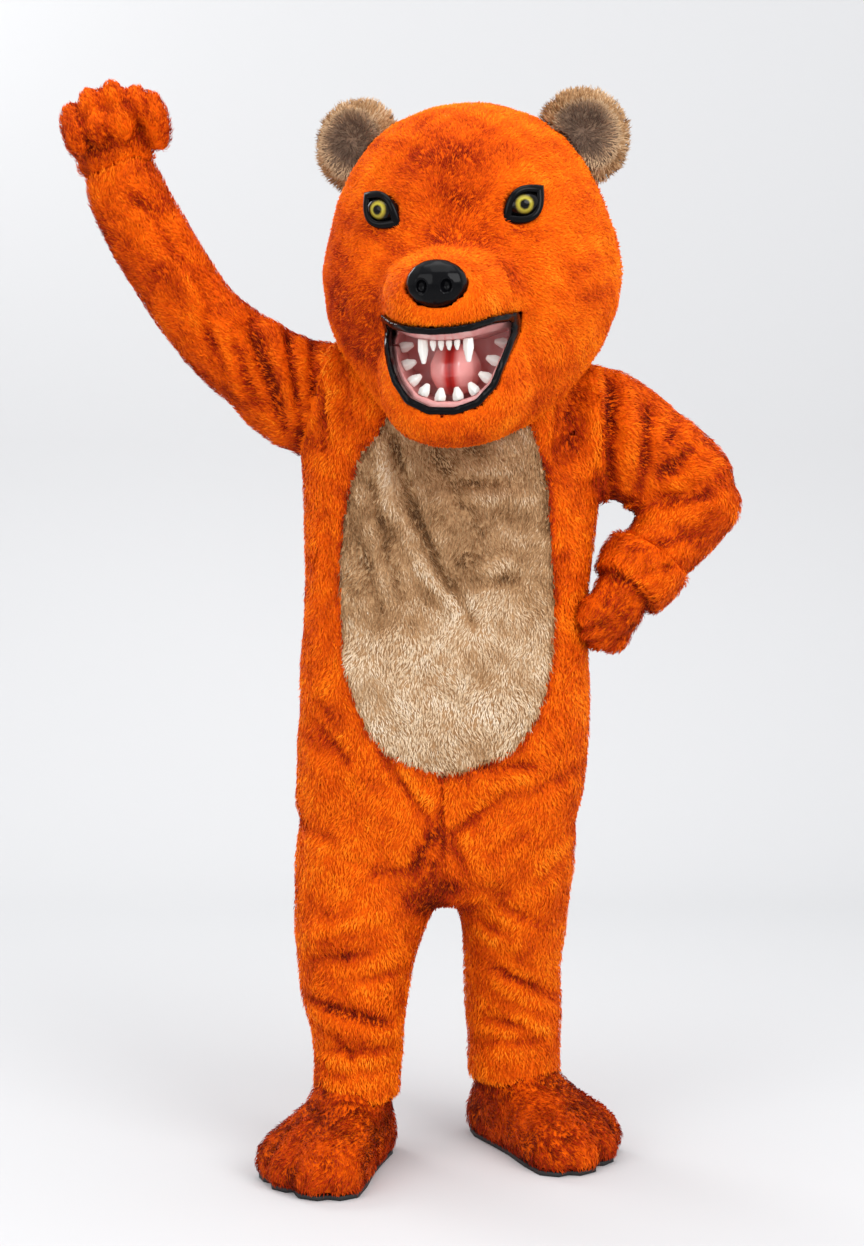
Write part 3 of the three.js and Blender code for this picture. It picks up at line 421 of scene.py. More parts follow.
def merged_copy(nodes, swell=0.0, inward=0.0):
    """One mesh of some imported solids, a little swollen, with the walls thickened on their inner side."""
    whole = bmesh.new()
    for node in nodes:
        bm = bmesh.new()
        bm.from_mesh(solids[node].data)
        bmesh.ops.remove_doubles(bm, verts=bm.verts, dist=1e-5)
        mesh = mesh_from(bm, node)
        if swell or inward:
            points, normals = places_of(mesh), normals_of(mesh)
            middle, _ = nearest_on_lines(points, lines_of(node))
            out = unit(points - middle)
            inner = np.einsum("ij,ij->i", normals, out) < -0.1
            set_places(mesh, points + normals * swell - out * (inner * inward)[:, None])
        whole.from_mesh(mesh)
        bpy.data.meshes.remove(mesh)
    return mesh_from(whole, "merged")


def tree_of(nodes):
    """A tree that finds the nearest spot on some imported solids, and the solid each of its faces is from."""
    corners, faces, owners = [], [], []
    for node in nodes:
        mesh = solids[node].data
        mesh.calc_loop_triangles()
        start = len(corners)
        corners += [v.co.copy() for v in mesh.vertices]
        faces += [tuple(start + i for i in t.vertices) for t in mesh.loop_triangles]
        owners += [node] * len(mesh.loop_triangles)
    return BVHTree.FromPolygons(corners, faces), np.array(owners)


# Nothing farther off than this, in metres, counts as near.
FAR = 0.03


def gaps_to(tree, points, limit):
    """How far each point is from a tree's solids, up to a limit."""
    found = np.full(len(points), limit)
    for i, point in enumerate(points):
        hit = tree.find_nearest(Vector(point), limit)
        if hit[3] is not None:
            found[i] = hit[3]
    return found


def owner_at(points, tree, owners):
    """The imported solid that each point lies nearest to."""
    return owners[[tree.find_nearest(Vector(point))[2] for point in points]]


def middle_at(points, owner):
    """The nearest spot on the lines of each point's own solid, and the way the line runs there."""
    place = np.zeros((len(points), 3))
    heading = np.zeros((len(points), 3))
    for node in sorted(set(owner)):
        chosen = owner == node
        place[chosen], heading[chosen] = nearest_on_lines(points[chosen], lines_of(node))
    return place, heading


def finished_mesh(piece):
    """The piece's mesh with its modifiers worked in."""
    found = piece.evaluated_get(bpy.context.evaluated_depsgraph_get())
    mesh = bpy.data.meshes.new_from_object(found)
    piece.modifiers.clear()
    old = piece.data
    piece.data = mesh
    mesh.name = piece.name
    bpy.data.meshes.remove(old)
    return mesh


def triangles_in(piece):
    piece.data.calc_loop_triangles()
    return len(piece.data.loop_triangles)


print("helpers ready")

# %% [markdown]
# ## Creases
# The suit hangs from the shoulders over a padded belly. Its long folds are in the solid already. Here they
# get their sharper lines and the small creases between them: each is a soft trough or ridge along a line,
# in millimetres above the floor, deepest in its middle, and they crowd at elbows, crotch and knees. The
# same kinds of crease go on the back, where the photograph shows nothing.

# %% Creases on the front and the back
front_creases = [
    # x1, z1, x2, z2, height, reach
    (-94, 1290, -62, 1170, -7, 12), (-62, 1170, -10, 1052, -9, 11), (-10, 1052, 54, 962, -9, 11),
    (-116, 1280, -88, 1168, 6, 13), (-88, 1168, -40, 1062, 7, 13), (-40, 1062, 22, 986, 6, 13),
    (-130, 1200, -106, 1104, -5, 11), (-106, 1104, -76, 1010, -4, 11), (-150, 1190, -128, 1090, 5, 16),
    (-146, 1100, -110, 960, -4, 13), (50, 1060, 112, 1070, 5, 14), (56, 1030, 130, 1044, -5, 12),
    (30, 1182, 150, 1176, 4, 14), (20, 1204, 130, 1212, -5, 13), (-20, 1250, 30, 1170, -4, 14),
    (-128, 900, -60, 800, 2, 22), (30, 860, 96, 800, 2, 20), (-100, 880, -30, 870, -2, 16),
    (-332, 1480, -276, 1290, -11, 14), (-304, 1470, -258, 1300, 7, 16),
    (-270, 1470, -248, 1290, -9, 13), (-246, 1460, -232, 1290, 5, 14), (-228, 1450, -216, 1270, -9, 13),
    (-206, 1440, -192, 1300, 5, 14), (-182, 1430, -172, 1300, -8, 14), (-150, 1400, -150, 1280, -5, 16),
    (-420, 1480, -380, 1404, -8, 14), (-486, 1640, -400, 1500, -8, 16),
    (-540, 1700, -492, 1650, -7, 16), (-360, 1430, -330, 1340, -8, 15), (-452, 1600, -420, 1470, 5, 16),
    (-386, 1440, -352, 1350, 5, 15), (206, 1400, 200, 1240, -9, 14), (232, 1400, 222, 1250, -11, 14),
    (262, 1390, 250, 1220, 7, 16), (288, 1378, 276, 1200, -11, 14), (318, 1360, 312, 1190, 7, 16),
    (356, 1340, 342, 1196, -12, 15), (410, 1318, 366, 1222, -9, 14), (400, 1300, 352, 1200, 5, 16),
    (430, 1262, 372, 1212, -9, 14), (486, 1240, 400, 1196, 5, 16), (470, 1180, 372, 1170, -6, 11),
    (440, 1140, 350, 1150, 4, 11), (420, 1104, 330, 1090, -5, 11), (408, 1060, 330, 1040, -5, 11),
    (216, 1120, 204, 1010, -5, 14), (180, 1260, 176, 1130, -4, 14), (-216, 1150, -200, 1010, -4, 15),
    (-210, 1000, -206, 880, -4, 15), (-232, 792, -172, 722, -7, 11), (-246, 742, -206, 690, 4, 14),
    (-222, 822, -190, 780, -5, 11), (-104, 724, -30, 622, -7, 10), (-72, 706, -24, 650, 4, 12),
    (96, 656, 14, 598, -7, 10), (150, 716, 60, 712, -8, 9), (140, 690, 66, 678, 4, 11),
    (220, 700, 150, 668, -5, 12), (-6, 700, -8, 560, -6, 6), (-20, 610, -60, 530, -7, 12),
    (10, 600, 40, 520, -6, 12), (-20, 540, -130, 520, -5, 13), (20, 500, 110, 486, -4, 13),
    (-190, 556, -100, 530, -4, 12), (-250, 600, -190, 580, -4, 13), (150, 600, 80, 560, -4, 13),
    (220, 540, 160, 500, -4, 14), (98, 460, 160, 430, -8, 10), (60, 410, 130, 386, 4, 13),
    (60, 430, 110, 400, -5, 11), (92, 340, 196, 282, -9, 10), (100, 312, 180, 262, 4, 12),
    (70, 244, 140, 232, -8, 11), (60, 200, 170, 206, -5, 12), (130, 250, 190, 216, 4, 12),
    (-244, 420, -110, 456, 5, 13), (-236, 376, -120, 392, -6, 12), (-238, 302, -92, 262, -9, 12),
    (-230, 270, -96, 240, 5, 12), (-216, 214, -92, 216, -7, 11), (-222, 172, -100, 178, -4, 11),
    (-150, 340, -80, 350, -6, 11), (-190, 236, -150, 190, -5, 10),
]
back_creases = [
    # x1, z1, x2, z2, height, reach
    (-150, 1300, -40, 1150, -6, 14), (150, 1290, 60, 1130, -6, 14), (-120, 1180, -30, 1060, 4, 17),
    (140, 1120, 40, 1020, 4, 17), (-190, 905, 50, 866, -7, 13), (-70, 806, 180, 832, 5, 14),
    (-200, 760, -40, 744, -6, 13), (-214, 646, -60, 586, -7, 12), (206, 656, 60, 592, -7, 12),
    (-200, 606, -70, 552, 4, 13), (190, 606, 70, 556, 4, 13), (-230, 500, -90, 512, -6, 12),
    (210, 492, 60, 506, -6, 12), (-240, 334, -90, 345, -7, 12), (50, 326, 200, 314, -7, 12),
    (-230, 296, -100, 306, 4, 12), (60, 280, 196, 270, 4, 12), (-226, 200, -96, 190, -5, 12),
    (50, 200, 190, 206, -5, 12), (-250, 1450, -232, 1280, -6, 12), (-300, 1460, -280, 1290, -6, 12),
    (262, 1390, 258, 1210, -6, 12), (320, 1360, 300, 1200, -6, 12), (440, 1280, 384, 1190, -6, 12),
    (470, 1170, 390, 1130, -6, 12), (-460, 1600, -400, 1480, -5, 13),
]


def crease_height(points, backward):
    """How far each point moves out. Backward is 1 at the back of the body or limb and -1 in front."""
    height = np.zeros(len(points))
    x = points[:, 0] * 1000
    z = (points[:, 2] + NECK) * 1000
    for creases, toward in ((front_creases, -backward), (back_creases, backward)):
        seen = np.clip(toward * 1.6 + 0.45, 0, 1)
        for x1, z1, x2, z2, rise, reach in creases:
            run = np.array([x2 - x1, z2 - z1], float)
            share = np.clip(((x - x1) * run[0] + (z - z1) * run[1]) / (run @ run), 0, 1)
            gap = np.hypot(x - x1 - share * run[0], z - z1 - share * run[1])
            taper = 0.35 + 0.65 * np.sin(np.pi * (0.12 + 0.76 * share))
            height += 1.25 * rise * taper * np.exp(-((gap / reach) ** 2)) * seen
    return height / 1000


def ripple(points, size, seed):
    """Smooth unevenness between -1 and 1, with bumps about as large as size."""
    rng = np.random.default_rng(seed)
    total = np.zeros(len(points))
    for _ in range(9):
        wave = rng.normal(size=3)
        wave *= rng.uniform(0.7, 1.5) * 2 * np.pi / size / np.linalg.norm(wave)
        total += np.sin(points @ wave + rng.uniform(0, 6.3))
    return np.clip(total / 4.0, -1, 1)


print(len(front_creases) + len(back_creases), "creases")

# %% The head's brows, cheeks and dips
head_bumps = [
    # x, y, z in the head's own frame, size, height
    (-96, -222, 146, 34, 6), (96, -222, 146, 34, 6), (0, -242, 112, 34, -6),
    (-160, -170, -60, 60, 5), (160, -170, -60, 60, 5), (-118, -205, 66, 30, -5),
    (118, -205, 66, 30, -5), (0, -225, 200, 60, 3), (-100, -250, -20, 26, -5),
    (100, -250, -20, 26, -5),
]


def sum_of_spots(points, spots, frame_of, parts=1):
    """A soft round spot for each row: its place and size in millimetres, and its height over parts."""
    total = np.zeros(len(points))
    for *place, size, height in spots:
        gap = np.linalg.norm(points - np.array(frame_of(place)[0]), axis=1) * 1000
        total += height / parts * np.exp(-((gap / size) ** 2))
    return total


print(len(head_bumps), "bumps")

# %% [markdown]
# ## From solid wall to soft skin
# All the panels of one garment are rounded together, so that they still meet, and parted again afterwards
# along their seams. The wall is thickened inwards first, because a thin wall tears in the Remesh modifier.
# Remesh gives it an even skin and Smooth takes off the flats, less so beside any other solid. Then it is
# creased and drawn in by the height of the fur. Only its outer face is kept, and thickened into cloth.

# %% Even, rounded skin of one garment


def smoothed(piece, passes, group=""):
    """The piece's mesh after a number of smoothing passes."""
    smooth = piece.modifiers.new("round off", "SMOOTH")
    smooth.factor = 0.5
    smooth.iterations = passes
    smooth.vertex_group = group
    return finished_mesh(piece)


def even_skin(piece, voxel):
    remesh = piece.modifiers.new("even skin", "REMESH")
    remesh.mode = "VOXEL"
    remesh.voxel_size = voxel
    return finished_mesh(piece)


def rounded_form(nodes, voxel, passes):
    """The garment's solids as one even skin, rounded off less where another solid is near."""
    form = link(bpy.data.objects.new("form", merged_copy(nodes, 0.0006, voxel)))
    points = places_of(even_skin(form, voxel))
    others, _ = tree_of([node for node in solids if node not in nodes])
    free = np.clip((gaps_to(others, points, FAR) - 0.003) / 0.014, 0, 1)
    group = form.vertex_groups.new(name="free")
    steps = 4
    for step in range(1, steps + 1):
        chosen = np.nonzero(np.ceil(free * steps) == step)[0]
        group.add([int(i) for i in chosen], step / steps, "REPLACE")
    smoothed(form, passes, "free")
    form.vertex_groups.clear()
    return form


def crease_form(form, inset, way, found):
    """Crease the form, draw it in, and keep on it how far each spot stands out from its surroundings."""
    mesh = form.data
    points, normals = places_of(mesh), normals_of(mesh)
    middle, _ = middle_at(points, owner_at(points, *found))
    out = unit(points - middle)
    facing = np.clip(np.einsum("ij,ij->i", normals, out) * 2, 0, 1)
    rise = ripple(points, 0.09, 5) * 0.0015
    if way == "along":
        rise += crease_height(points, out[:, 1])
    if way == "head":
        rise += sum_of_spots(points, head_bumps, on_head, 1000)
    set_places(mesh, points + (rise * facing)[:, None] * out - (inset * facing)[:, None] * normals)
    calm = link(bpy.data.objects.new("calm", mesh.copy()))
    relief = np.einsum("ij,ij->i", places_of(mesh) - places_of(smoothed(calm, 24)), normals_of(mesh))
    bpy.data.objects.remove(calm)
    # How far each spot stands out: the fur reads it for painted shade in troughs and painted light on ridges.
    layer = mesh.attributes.new("relief", "FLOAT", "POINT")
    layer.data.foreach_set("value", (relief - np.median(relief[facing > 0.5])).astype(np.float32))


# %% Part a garment into its panels
# Faces above OUTWARD are kept, faces below INWARD are dropped, and those between have to see out.
OUTWARD = 0.4
INWARD = -0.75
# Cloth stops this far, in metres, from the eyes, the nose and the mouth.
BESIDE_HARD = 0.0035


def line_of_sight(i):
    """One of 25 directions that wind down a globe from its top to its bottom."""
    height = 1 - i / 12
    reach = math.sqrt(1 - height**2)
    return reach * math.cos(2.4 * i), reach * math.sin(2.4 * i), height


sky = np.array([line_of_sight(i) for i in range(25)])


def sees_out(spot, normal, tree):
    """Whether enough lines of sight leave a spot without meeting the garment again."""
    rays = [ray for ray in sky if ray @ normal > 0.25]
    start = Vector(spot + normal * 0.012)
    clear = sum(tree.ray_cast(start, Vector(ray))[0] is None for ray in rays)
    return clear >= 0.3 * len(rays)


def part_panels(form, panels, found, hard):
    """One object for each panel: the outer faces that lie nearest to its solids."""
    panel_of = {node: name for name, nodes in panels.items() for node in nodes}
    tree, owners = found
    bm = bmesh.new()
    bm.from_mesh(form.data)
    bm.normal_update()
    centres = np.array([face.calc_center_median() for face in bm.faces])
    normals = np.array([face.normal for face in bm.faces])
    owner = owner_at(centres, tree, owners)
    middle, _ = middle_at(centres, owner)
    facing = np.einsum("ij,ij->i", normals, unit(centres - middle))
    kept = facing > OUTWARD
    for i in np.nonzero((facing > INWARD) & ~kept)[0]:
        kept[i] = sees_out(centres[i], normals[i], tree)
    kept &= gaps_to(hard, centres, 0.01) > BESIDE_HARD
    names = list(panels)
    part = bm.faces.layers.int.new("panel")
    for face, node, stays in zip(bm.faces, owner, kept):
        face[part] = names.index(panel_of[node]) if stays else -1
    made = {}
    for number, name in enumerate(names):
        panel = bm.copy()
        layer = panel.faces.layers.int["panel"]
        dropped = [face for face in panel.faces if face[layer] != number]
        bmesh.ops.delete(panel, geom=dropped, context="FACES")
        mesh = mesh_from(panel, name)
        mesh.attributes.remove(mesh.attributes["panel"])
        mesh.shade_smooth()
        made[name] = link(bpy.data.objects.new(name + "_cloth", mesh))
    bm.free()
    old = form.data
    bpy.data.objects.remove(form)
    bpy.data.meshes.remove(old)
    return made


print(len(sky), "lines of sight")

# %% [markdown]
# ## Fur in tufts
# One tuft is four points and two faces: a root, two sides at its widest, and a tip. It leans along the nap,
# lifts off the cloth and curls over. Tufts are scattered evenly by area over the outer faces only, shorter
# near the eyes, nose and lips. They are too many for one modelling step each, so arrays hold them all.

# %% Scatter roots on the outside


def scattered_roots(mesh, density, rng):
    """Roots spread over an open sheet: places, the way the cloth faces, relief, and the sheet's area."""
    mesh.calc_loop_triangles()
    count = len(mesh.loop_triangles)
    corners = np.empty(count * 3, np.int32)
    mesh.loop_triangles.foreach_get("vertices", corners)
    corners = corners.reshape(-1, 3)
    points = places_of(mesh)
    normals = normals_of(mesh)
    relief = np.empty(len(points), np.float32)
    mesh.attributes["relief"].data.foreach_get("value", relief)
    a, b, c = (points[corners[:, i]] for i in range(3))
    area = np.linalg.norm(np.cross(b - a, c - a), axis=1) / 2
    total = area.sum()
    wanted = int(total * density)
    picked = np.searchsorted(np.cumsum(area), rng.random(wanted) * total)
    picked = np.minimum(picked, count - 1)
    u, v = rng.random(wanted), rng.random(wanted)
    flip = u + v > 1
    u[flip], v[flip] = 1 - u[flip], 1 - v[flip]
    share = np.stack([1 - u - v, u, v], 1)
    trio = corners[picked]
    roots = (points[trio] * share[:, :, None]).sum(1)
    up = unit((normals[trio] * share[:, :, None]).sum(1))
    return roots, up, (relief[trio] * share).sum(1), total


# %% Grow the four points of every tuft
# The colour picture has this many columns of tone.
TONES = 48


def grow_tufts(roots, up, nap, tone, length, width, lift, rng):
    """The four points of every tuft, and its place in the colour picture."""
    count = len(roots)
    lean = unit(nap - np.einsum("ij,ij->i", nap, up)[:, None] * up)
    side = unit(np.cross(lean, up))
    turn = rng.normal(0, 0.26, count)[:, None] + 0.6 * ripple(roots, 0.08, 3)[:, None]
    lean = unit(lean * np.cos(turn) + side * np.sin(turn))
    roll = rng.normal(0, 0.35, count)[:, None]
    side = unit(np.cross(lean, up))
    side = unit(side * np.cos(roll) + up * np.sin(roll))
    rise = lift + rng.normal(0, 0.12, count)
    low = (rise + 0.3)[:, None]
    high = (rise - 0.35)[:, None]
    span = (length * rng.uniform(0.7, 1.25, count))[:, None]
    half = (width * rng.uniform(0.7, 1.3, count) / 2)[:, None]
    base = roots - up * 0.001
    waist = base + span * 0.45 * (lean * np.cos(low) + up * np.sin(low))
    tip = waist + span * 0.55 * (lean * np.cos(high) + up * np.sin(high))
    points = np.stack([base, waist - side * half, waist + side * half, tip], 1)
    points[:, :, 2] = np.maximum(points[:, :, 2], 0.0006 - NECK)
    column = (np.clip(tone, 0, 0.999) * TONES).astype(int)
    left = (column + 0.15) / TONES
    right = (column + 0.85) / TONES
    centre = (column + 0.5) / TONES
    spots = np.zeros((count, 6, 2))
    for corner, (across, height) in enumerate([(centre, 0.02), (left, 0.45), (right, 0.45),
                                               (left, 0.45), (centre, 0.98), (right, 0.45)]):
        spots[:, corner, 0] = across
        spots[:, corner, 1] = height
    return points.reshape(-1, 3), spots.reshape(-1, 2)


def tuft_mesh(name, points, spots):
    count = len(points) // 4
    mesh = bpy.data.meshes.new(name)
    mesh.vertices.add(count * 4)
    mesh.vertices.foreach_set("co", points.astype(np.float32).ravel())
    first = np.arange(count)[:, None] * 4
    corners = (first + np.array([[0, 1, 2, 1, 3, 2]])).ravel().astype(np.int32)
    mesh.loops.add(len(corners))
    mesh.loops.foreach_set("vertex_index", corners)
    mesh.polygons.add(count * 2)
    mesh.polygons.foreach_set("loop_start", np.arange(0, count * 6, 3, dtype=np.int32))
    mesh.update(calc_edges=True)
    layer = mesh.uv_layers.new(name="OFBake")
    layer.uv.foreach_set("vector", spots.astype(np.float32).ravel())
    mesh.validate()
    return mesh


print("tufts ready")

# %% [markdown]
# ## The garments
# One row describes a garment or a pair: the imported solids of each fur panel, which way the nap runs, how
# finely it is skinned and rounded, how far it is drawn in, and how thick its cloth is.

# %% Garments and their panels
ORANGE, TAN, DARK = "orange_fur", "tan_fur", "dark_fur"


def one_panel(*names):
    return {name: [name] for name in names}


suit_panels = one_panel("belly_panel", "suit_front_right", "suit_front_left", "suit_back_right",
                        "suit_back_left", "leg_front_right", "leg_front_left", "leg_back_right",
                        "leg_back_left", "sleeve_right", "sleeve_left")
head_panels = {"face": ["head_face", "muzzle", "lower_jaw"], "back_of_head": ["head_back"]}
garments = [
    # panels, nap, voxel, passes, inset, cloth
    (suit_panels, "along", 0.0085, 12, 0.005, 0.006),
    (head_panels, "head", 0.0065, 26, 0.004, 0.010),
]
pairs = [
    # panels without their side, nap, voxel, passes, inset, cloth
    (("glove_palm_", "glove_back_"), "along", 0.005, 8, 0.004, 0.005),
    (("boot_",), "boot", 0.006, 10, 0.004, 0.006),
    (("ear_",), "ear", 0.004, 8, 0.004, 0.005),
    (("ear_inner_",), "ear", 0.0035, 6, 0.002, 0.004),
]
for panels, *rest in pairs:
    for side in ("right", "left"):
        garments.append((one_panel(*(panel + side for panel in panels)), *rest))
fur_rows = {
    # panel without its side: colour, length, width, tufts for each square metre
    "belly_panel": (TAN, 0.012, 0.0018, 105000),
    "suit_back": (ORANGE, 0.014, 0.0023, 62000),
    "leg_back": (ORANGE, 0.014, 0.0023, 62000),
    "face": (ORANGE, 0.010, 0.0016, 140000),
    "back_of_head": (ORANGE, 0.013, 0.0023, 66000),
    "ear": (TAN, 0.017, 0.0017, 110000),
    "ear_inner": (DARK, 0.013, 0.0015, 130000),
}
usual_fur = (ORANGE, 0.013, 0.0019, 98000)


def fur_row(panel):
    return fur_rows.get(panel.removesuffix("_right").removesuffix("_left"), usual_fur)


print(sum(len(row[0]) for row in garments), "fur panels")

# %% Which way the nap runs


def nap_at(points, way, owner):
    if way == "head":
        bridge = np.array(on_head((0, -380, 30))[0])
        return unit(points - bridge) + np.array([0, 0.1, -0.25])
    middle, heading = middle_at(points, owner)
    if way == "ear":
        return unit(points - middle) + np.array([0, 0.2, 0.1])
    nap = heading + 0.15 * unit(points - middle)
    if way == "boot":
        low = np.clip((0.045 - (points[:, 2] + NECK)) / 0.03, 0, 1)[:, None]
        nap = nap * (1 - low) + np.array([0, 0, -1]) * low
    return nap


# %% How light or dark each tuft is


def tone_and_painted_shade_at(points, up, relief, colour, rng):
    """Patches of nap, painted shade in troughs and on faces that turn down, and painted light on ridges."""
    tone = 0.60 + 0.12 * ripple(points, 0.17, 11) + 0.11 * ripple(points, 0.05, 12)
    # Painted shade in the troughs and painted light on the ridges, by the relief.
    tone += rng.normal(0, 0.08, len(points)) + np.clip(relief * 95, -0.32, 0.2)
    # Painted shade on orange fur that faces down.
    if colour == ORANGE:
        tone -= 0.10 * np.clip(-up[:, 2], 0, 1)
    return tone


head_shadows = [
    # x, y, z in the head's own frame, size, depth of the darkening: the costume's airbrushing round the eyes,
    # brow and nose, and painted shade in the dips, under the muzzle and on the cheek turned from the key lamp
    (0, -238, 112, 46, 0.30), (-118, -205, 100, 50, 0.34), (118, -205, 100, 50, 0.34),
    (-14, -205, 190, 62, 0.26), (40, -195, 205, 52, 0.16), (0, -350, 22, 30, 0.20),
    (-100, -250, -20, 26, 0.24), (100, -250, -20, 26, 0.20), (-60, -290, -100, 30, 0.14),
    (-190, -130, -20, 84, 0.34), (-150, -180, -120, 70, 0.24), (90, -120, -170, 70, 0.14),
    (-60, -190, 150, 60, 0.12),
]
suit_shadows = [
    # x, y, z above the floor, size, depth of the painted shade in the crotch, round the knees and ankles, at
    # the waist and beside the arms
    (-10, -118, 590, 40, 0.18), (-14, -110, 530, 48, 0.34), (-8, -96, 470, 56, 0.46),
    (-176, -120, 300, 54, 0.20), (-120, -110, 240, 44, 0.18), (-190, -110, 430, 60, 0.10),
    (150, -20, 230, 44, 0.18), (120, -40, 400, 54, 0.12), (-205, -90, 760, 50, 0.14),
    (200, -90, 700, 54, 0.10), (-180, -110, 1270, 60, 0.16), (200, -100, 1270, 60, 0.16),
]


def belly_shade_and_tone(points):
    """Painted shade high up, under the chin and in the upper folds, and paler towards the hem of the panel.
    """
    height = (points[:, 2] + NECK) * 1000
    height += 45 * ripple(points, 0.16, 21)
    upper = np.clip((height - 900) / 240, 0, 1)
    pale = np.clip((1050 - height) / 260, 0, 1)
    return -0.19 * upper + 0.18 * pale


def ear_bowl_shade(points, side):
    """Painted shade deep in the bowl of the ear, and tan towards its rim."""
    middle = np.array(ear_line[side][1][1])
    gap = np.linalg.norm(points - middle, axis=1)
    return np.clip((gap - 0.026) / 0.03, 0, 1) * 0.75 - 0.35


# %% Grow the fur on one panel
hard_parts, _ = tree_of([node for node in solids if node in ("nose", "lip_rim", "mouth_lining")
                         or node.startswith("eye")])
belly_tree, _ = tree_of(["belly_panel"])
fronts_tree, _ = tree_of(["suit_front_right", "suit_front_left", "leg_front_right", "leg_front_left"])


def grow_fur(name, nodes, skin, spots, way, thickness, rng):
    """One panel's tufts, and its skin thinned out and thickened into cloth."""
    colour, length, width, _ = fur_row(name)
    roots, up, relief, owner = spots
    gap = gaps_to(hard_parts, roots, FAR) if way == "head" else np.full(len(roots), FAR)
    stays = gap > 0.0025
    roots, up, relief, owner, gap = (values[stays] for values in (roots, up, relief, owner, gap))
    tone = tone_and_painted_shade_at(roots, up, relief, colour, rng)
    if way == "head":
        # Darker spots on the head: the costume's own airbrushing, and painted shade.
        tone -= sum_of_spots(roots, head_shadows, on_head)
    if name.startswith(("suit", "leg")):
        # Painted shade on the suit and the legs.
        tone -= sum_of_spots(roots, suit_shadows, at_floor)
    if name == "belly_panel":
        # The belly's painted shade under the chin and its paler hem.
        tone += belly_shade_and_tone(roots) - 0.3 * np.exp(-((gaps_to(fronts_tree, roots, FAR) / 0.007) ** 2))
    if name.startswith(("suit_front", "leg_front")):
        tone -= 0.34 * np.exp(-((gaps_to(belly_tree, roots, FAR) / 0.008) ** 2))
    if name.startswith("ear_inner"):
        # Painted shade in the bowl of each inner ear.
        tone += ear_bowl_shade(roots, name.split("_")[-1])
    if way == "boot":
        tone -= 0.42
    if name.startswith(("sleeve", "glove", "ear_r", "ear_l")):
        tone -= 0.2
    reach = length * np.clip(0.3 + gap / 0.024, 0.35, 1)
    points, places = grow_tufts(roots, up, nap_at(roots, way, owner), tone, reach, width, 0.42, rng)
    mesh = tuft_mesh(name + "_fur", points, places)
    mesh.materials.append(furs[colour])
    fur = link(bpy.data.objects.new(name + "_fur", mesh))
    skin.data.attributes.remove(skin.data.attributes["relief"])
    fewer = skin.modifiers.new("fewer faces", "DECIMATE")
    fewer.ratio = 0.35
    wall = skin.modifiers.new("cloth", "SOLIDIFY")
    wall.thickness = thickness
    wall.offset = -1
    finished_mesh(skin).materials.append(backings[colour])
    for piece in (skin, fur):
        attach(piece, "root")
    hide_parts(*nodes)
    return fur, triangles_in(skin) + triangles_in(fur)


# %% Grow the fur on every garment


def make_garment(panels, way, voxel, passes, inset, thickness):
    nodes = [node for panel in panels.values() for node in panel]
    found = tree_of(nodes)
    form = rounded_form(nodes, voxel, passes)
    crease_form(form, inset, way, found)
    skins = part_panels(form, panels, found, hard_parts)
    rng = np.random.default_rng(sum(map(ord, nodes[0])))
    sown = [scattered_roots(skin.data, fur_row(name)[3], rng) for name, skin in skins.items()]
    roots, up, relief = (np.concatenate([row[i] for row in sown]) for i in range(3))
    owner = owner_at(roots, *found)
    added = 0
    for (name, skin), row in zip(skins.items(), sown):
        chosen = np.isin(owner, panels[name])
        spots = (roots[chosen], up[chosen], relief[chosen], owner[chosen])
        fur, count = grow_fur(name, panels[name], skin, spots, way, thickness, rng)
        added += count
        print(f"{name}: cloth {row[3]:.3f} m2, {len(fur.data.polygons) // 2} tufts, {count} triangles")
    return added


triangles = sum(make_garment(*row) for row in garments)
print("triangles of cloth and fur:", triangles)

# %% [markdown]
# ## Vinyl, latex, plastic and rubber
# The nose and the lips are glossy moulded vinyl, the gums and the tongue are pink latex, the teeth are
# hard plastic, and the soles are rubber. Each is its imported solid, rounded off all over or at its edges.

# %% Materials of the hard parts


def glossy_black():
    finish = Finish("black_gloss", Roughness=0.18, Specular_IOR_Level=0.1)
    return finish.done(shade(6, 6, 8), finish.noise(55, 3, 0.6), 0.1, 0.002)


def pink_latex(name, low, high):
    finish = Finish(name, Roughness=0.3, Coat_Weight=0.5)
    patches = finish.mix(finish.noise(38, 3, 0.6), low, high)
    return finish.done(patches, finish.noise(90, 2, 0.5), 0.15, 0.002)


def tongue_latex():
    """Pink, with the darker red line of its groove down the middle of the head."""
    finish = Finish("tongue_pink", Roughness=0.28, Coat_Weight=0.6)
    across = finish.sum_along(tuple(head_turn @ Vector((1, 0, 0))), tuple(head_place))
    groove = finish.sum_of("ABSOLUTE", across) * 60
    tongue = finish.mix(finish.noise(45, 3, 0.6), shade(250, 160, 156), shade(255, 190, 184))
    reds = stops((0.0, 150, 26, 24), (0.35, 196, 70, 64), (1.0, 255, 255, 255))
    colour = finish.mix(1.0, tongue, finish.ramp(groove, reds), "MULTIPLY")
    return finish.done(colour, finish.noise(150, 2, 0.5), 0.25, 0.002)


def lining_latex():
    """Pink latex beside the gums, turning black towards the lips: painted shade in the hollow of the mouth.
    """
    finish = Finish("lining", Roughness=0.3, Coat_Weight=0.5)
    # Painted shade in the mouth's hollow, mixed towards black.
    paint = finish.node("ShaderNodeAttribute", {"attribute_name": "paint"}, output=2)
    return finish.done(finish.mix(paint, shade(244, 160, 156), shade(10, 10, 13)))


def rubber():
    finish = Finish("black_rubber", Roughness=0.7)
    return finish.done(shade(24, 24, 25), finish.noise(400, 2, 0.5), 0.3, 0.001)


looks = {
    "black_gloss": glossy_black(),
    "gum_pink": pink_latex("gum_pink", shade(226, 142, 138), shade(246, 184, 178)),
    "tongue_pink": tongue_latex(),
    "lining": lining_latex(),
    "tooth_ivory": pink_latex("tooth_ivory", shade(240, 236, 226), shade(252, 250, 244)),
    "black_rubber": rubber(),
}
print(len(looks), "looks")

# %% Rounded copies of the moulded solids
gum_tree, _ = tree_of(["upper_gum", "lower_gum"])
lip_tree, _ = tree_of(["lip_rim"])


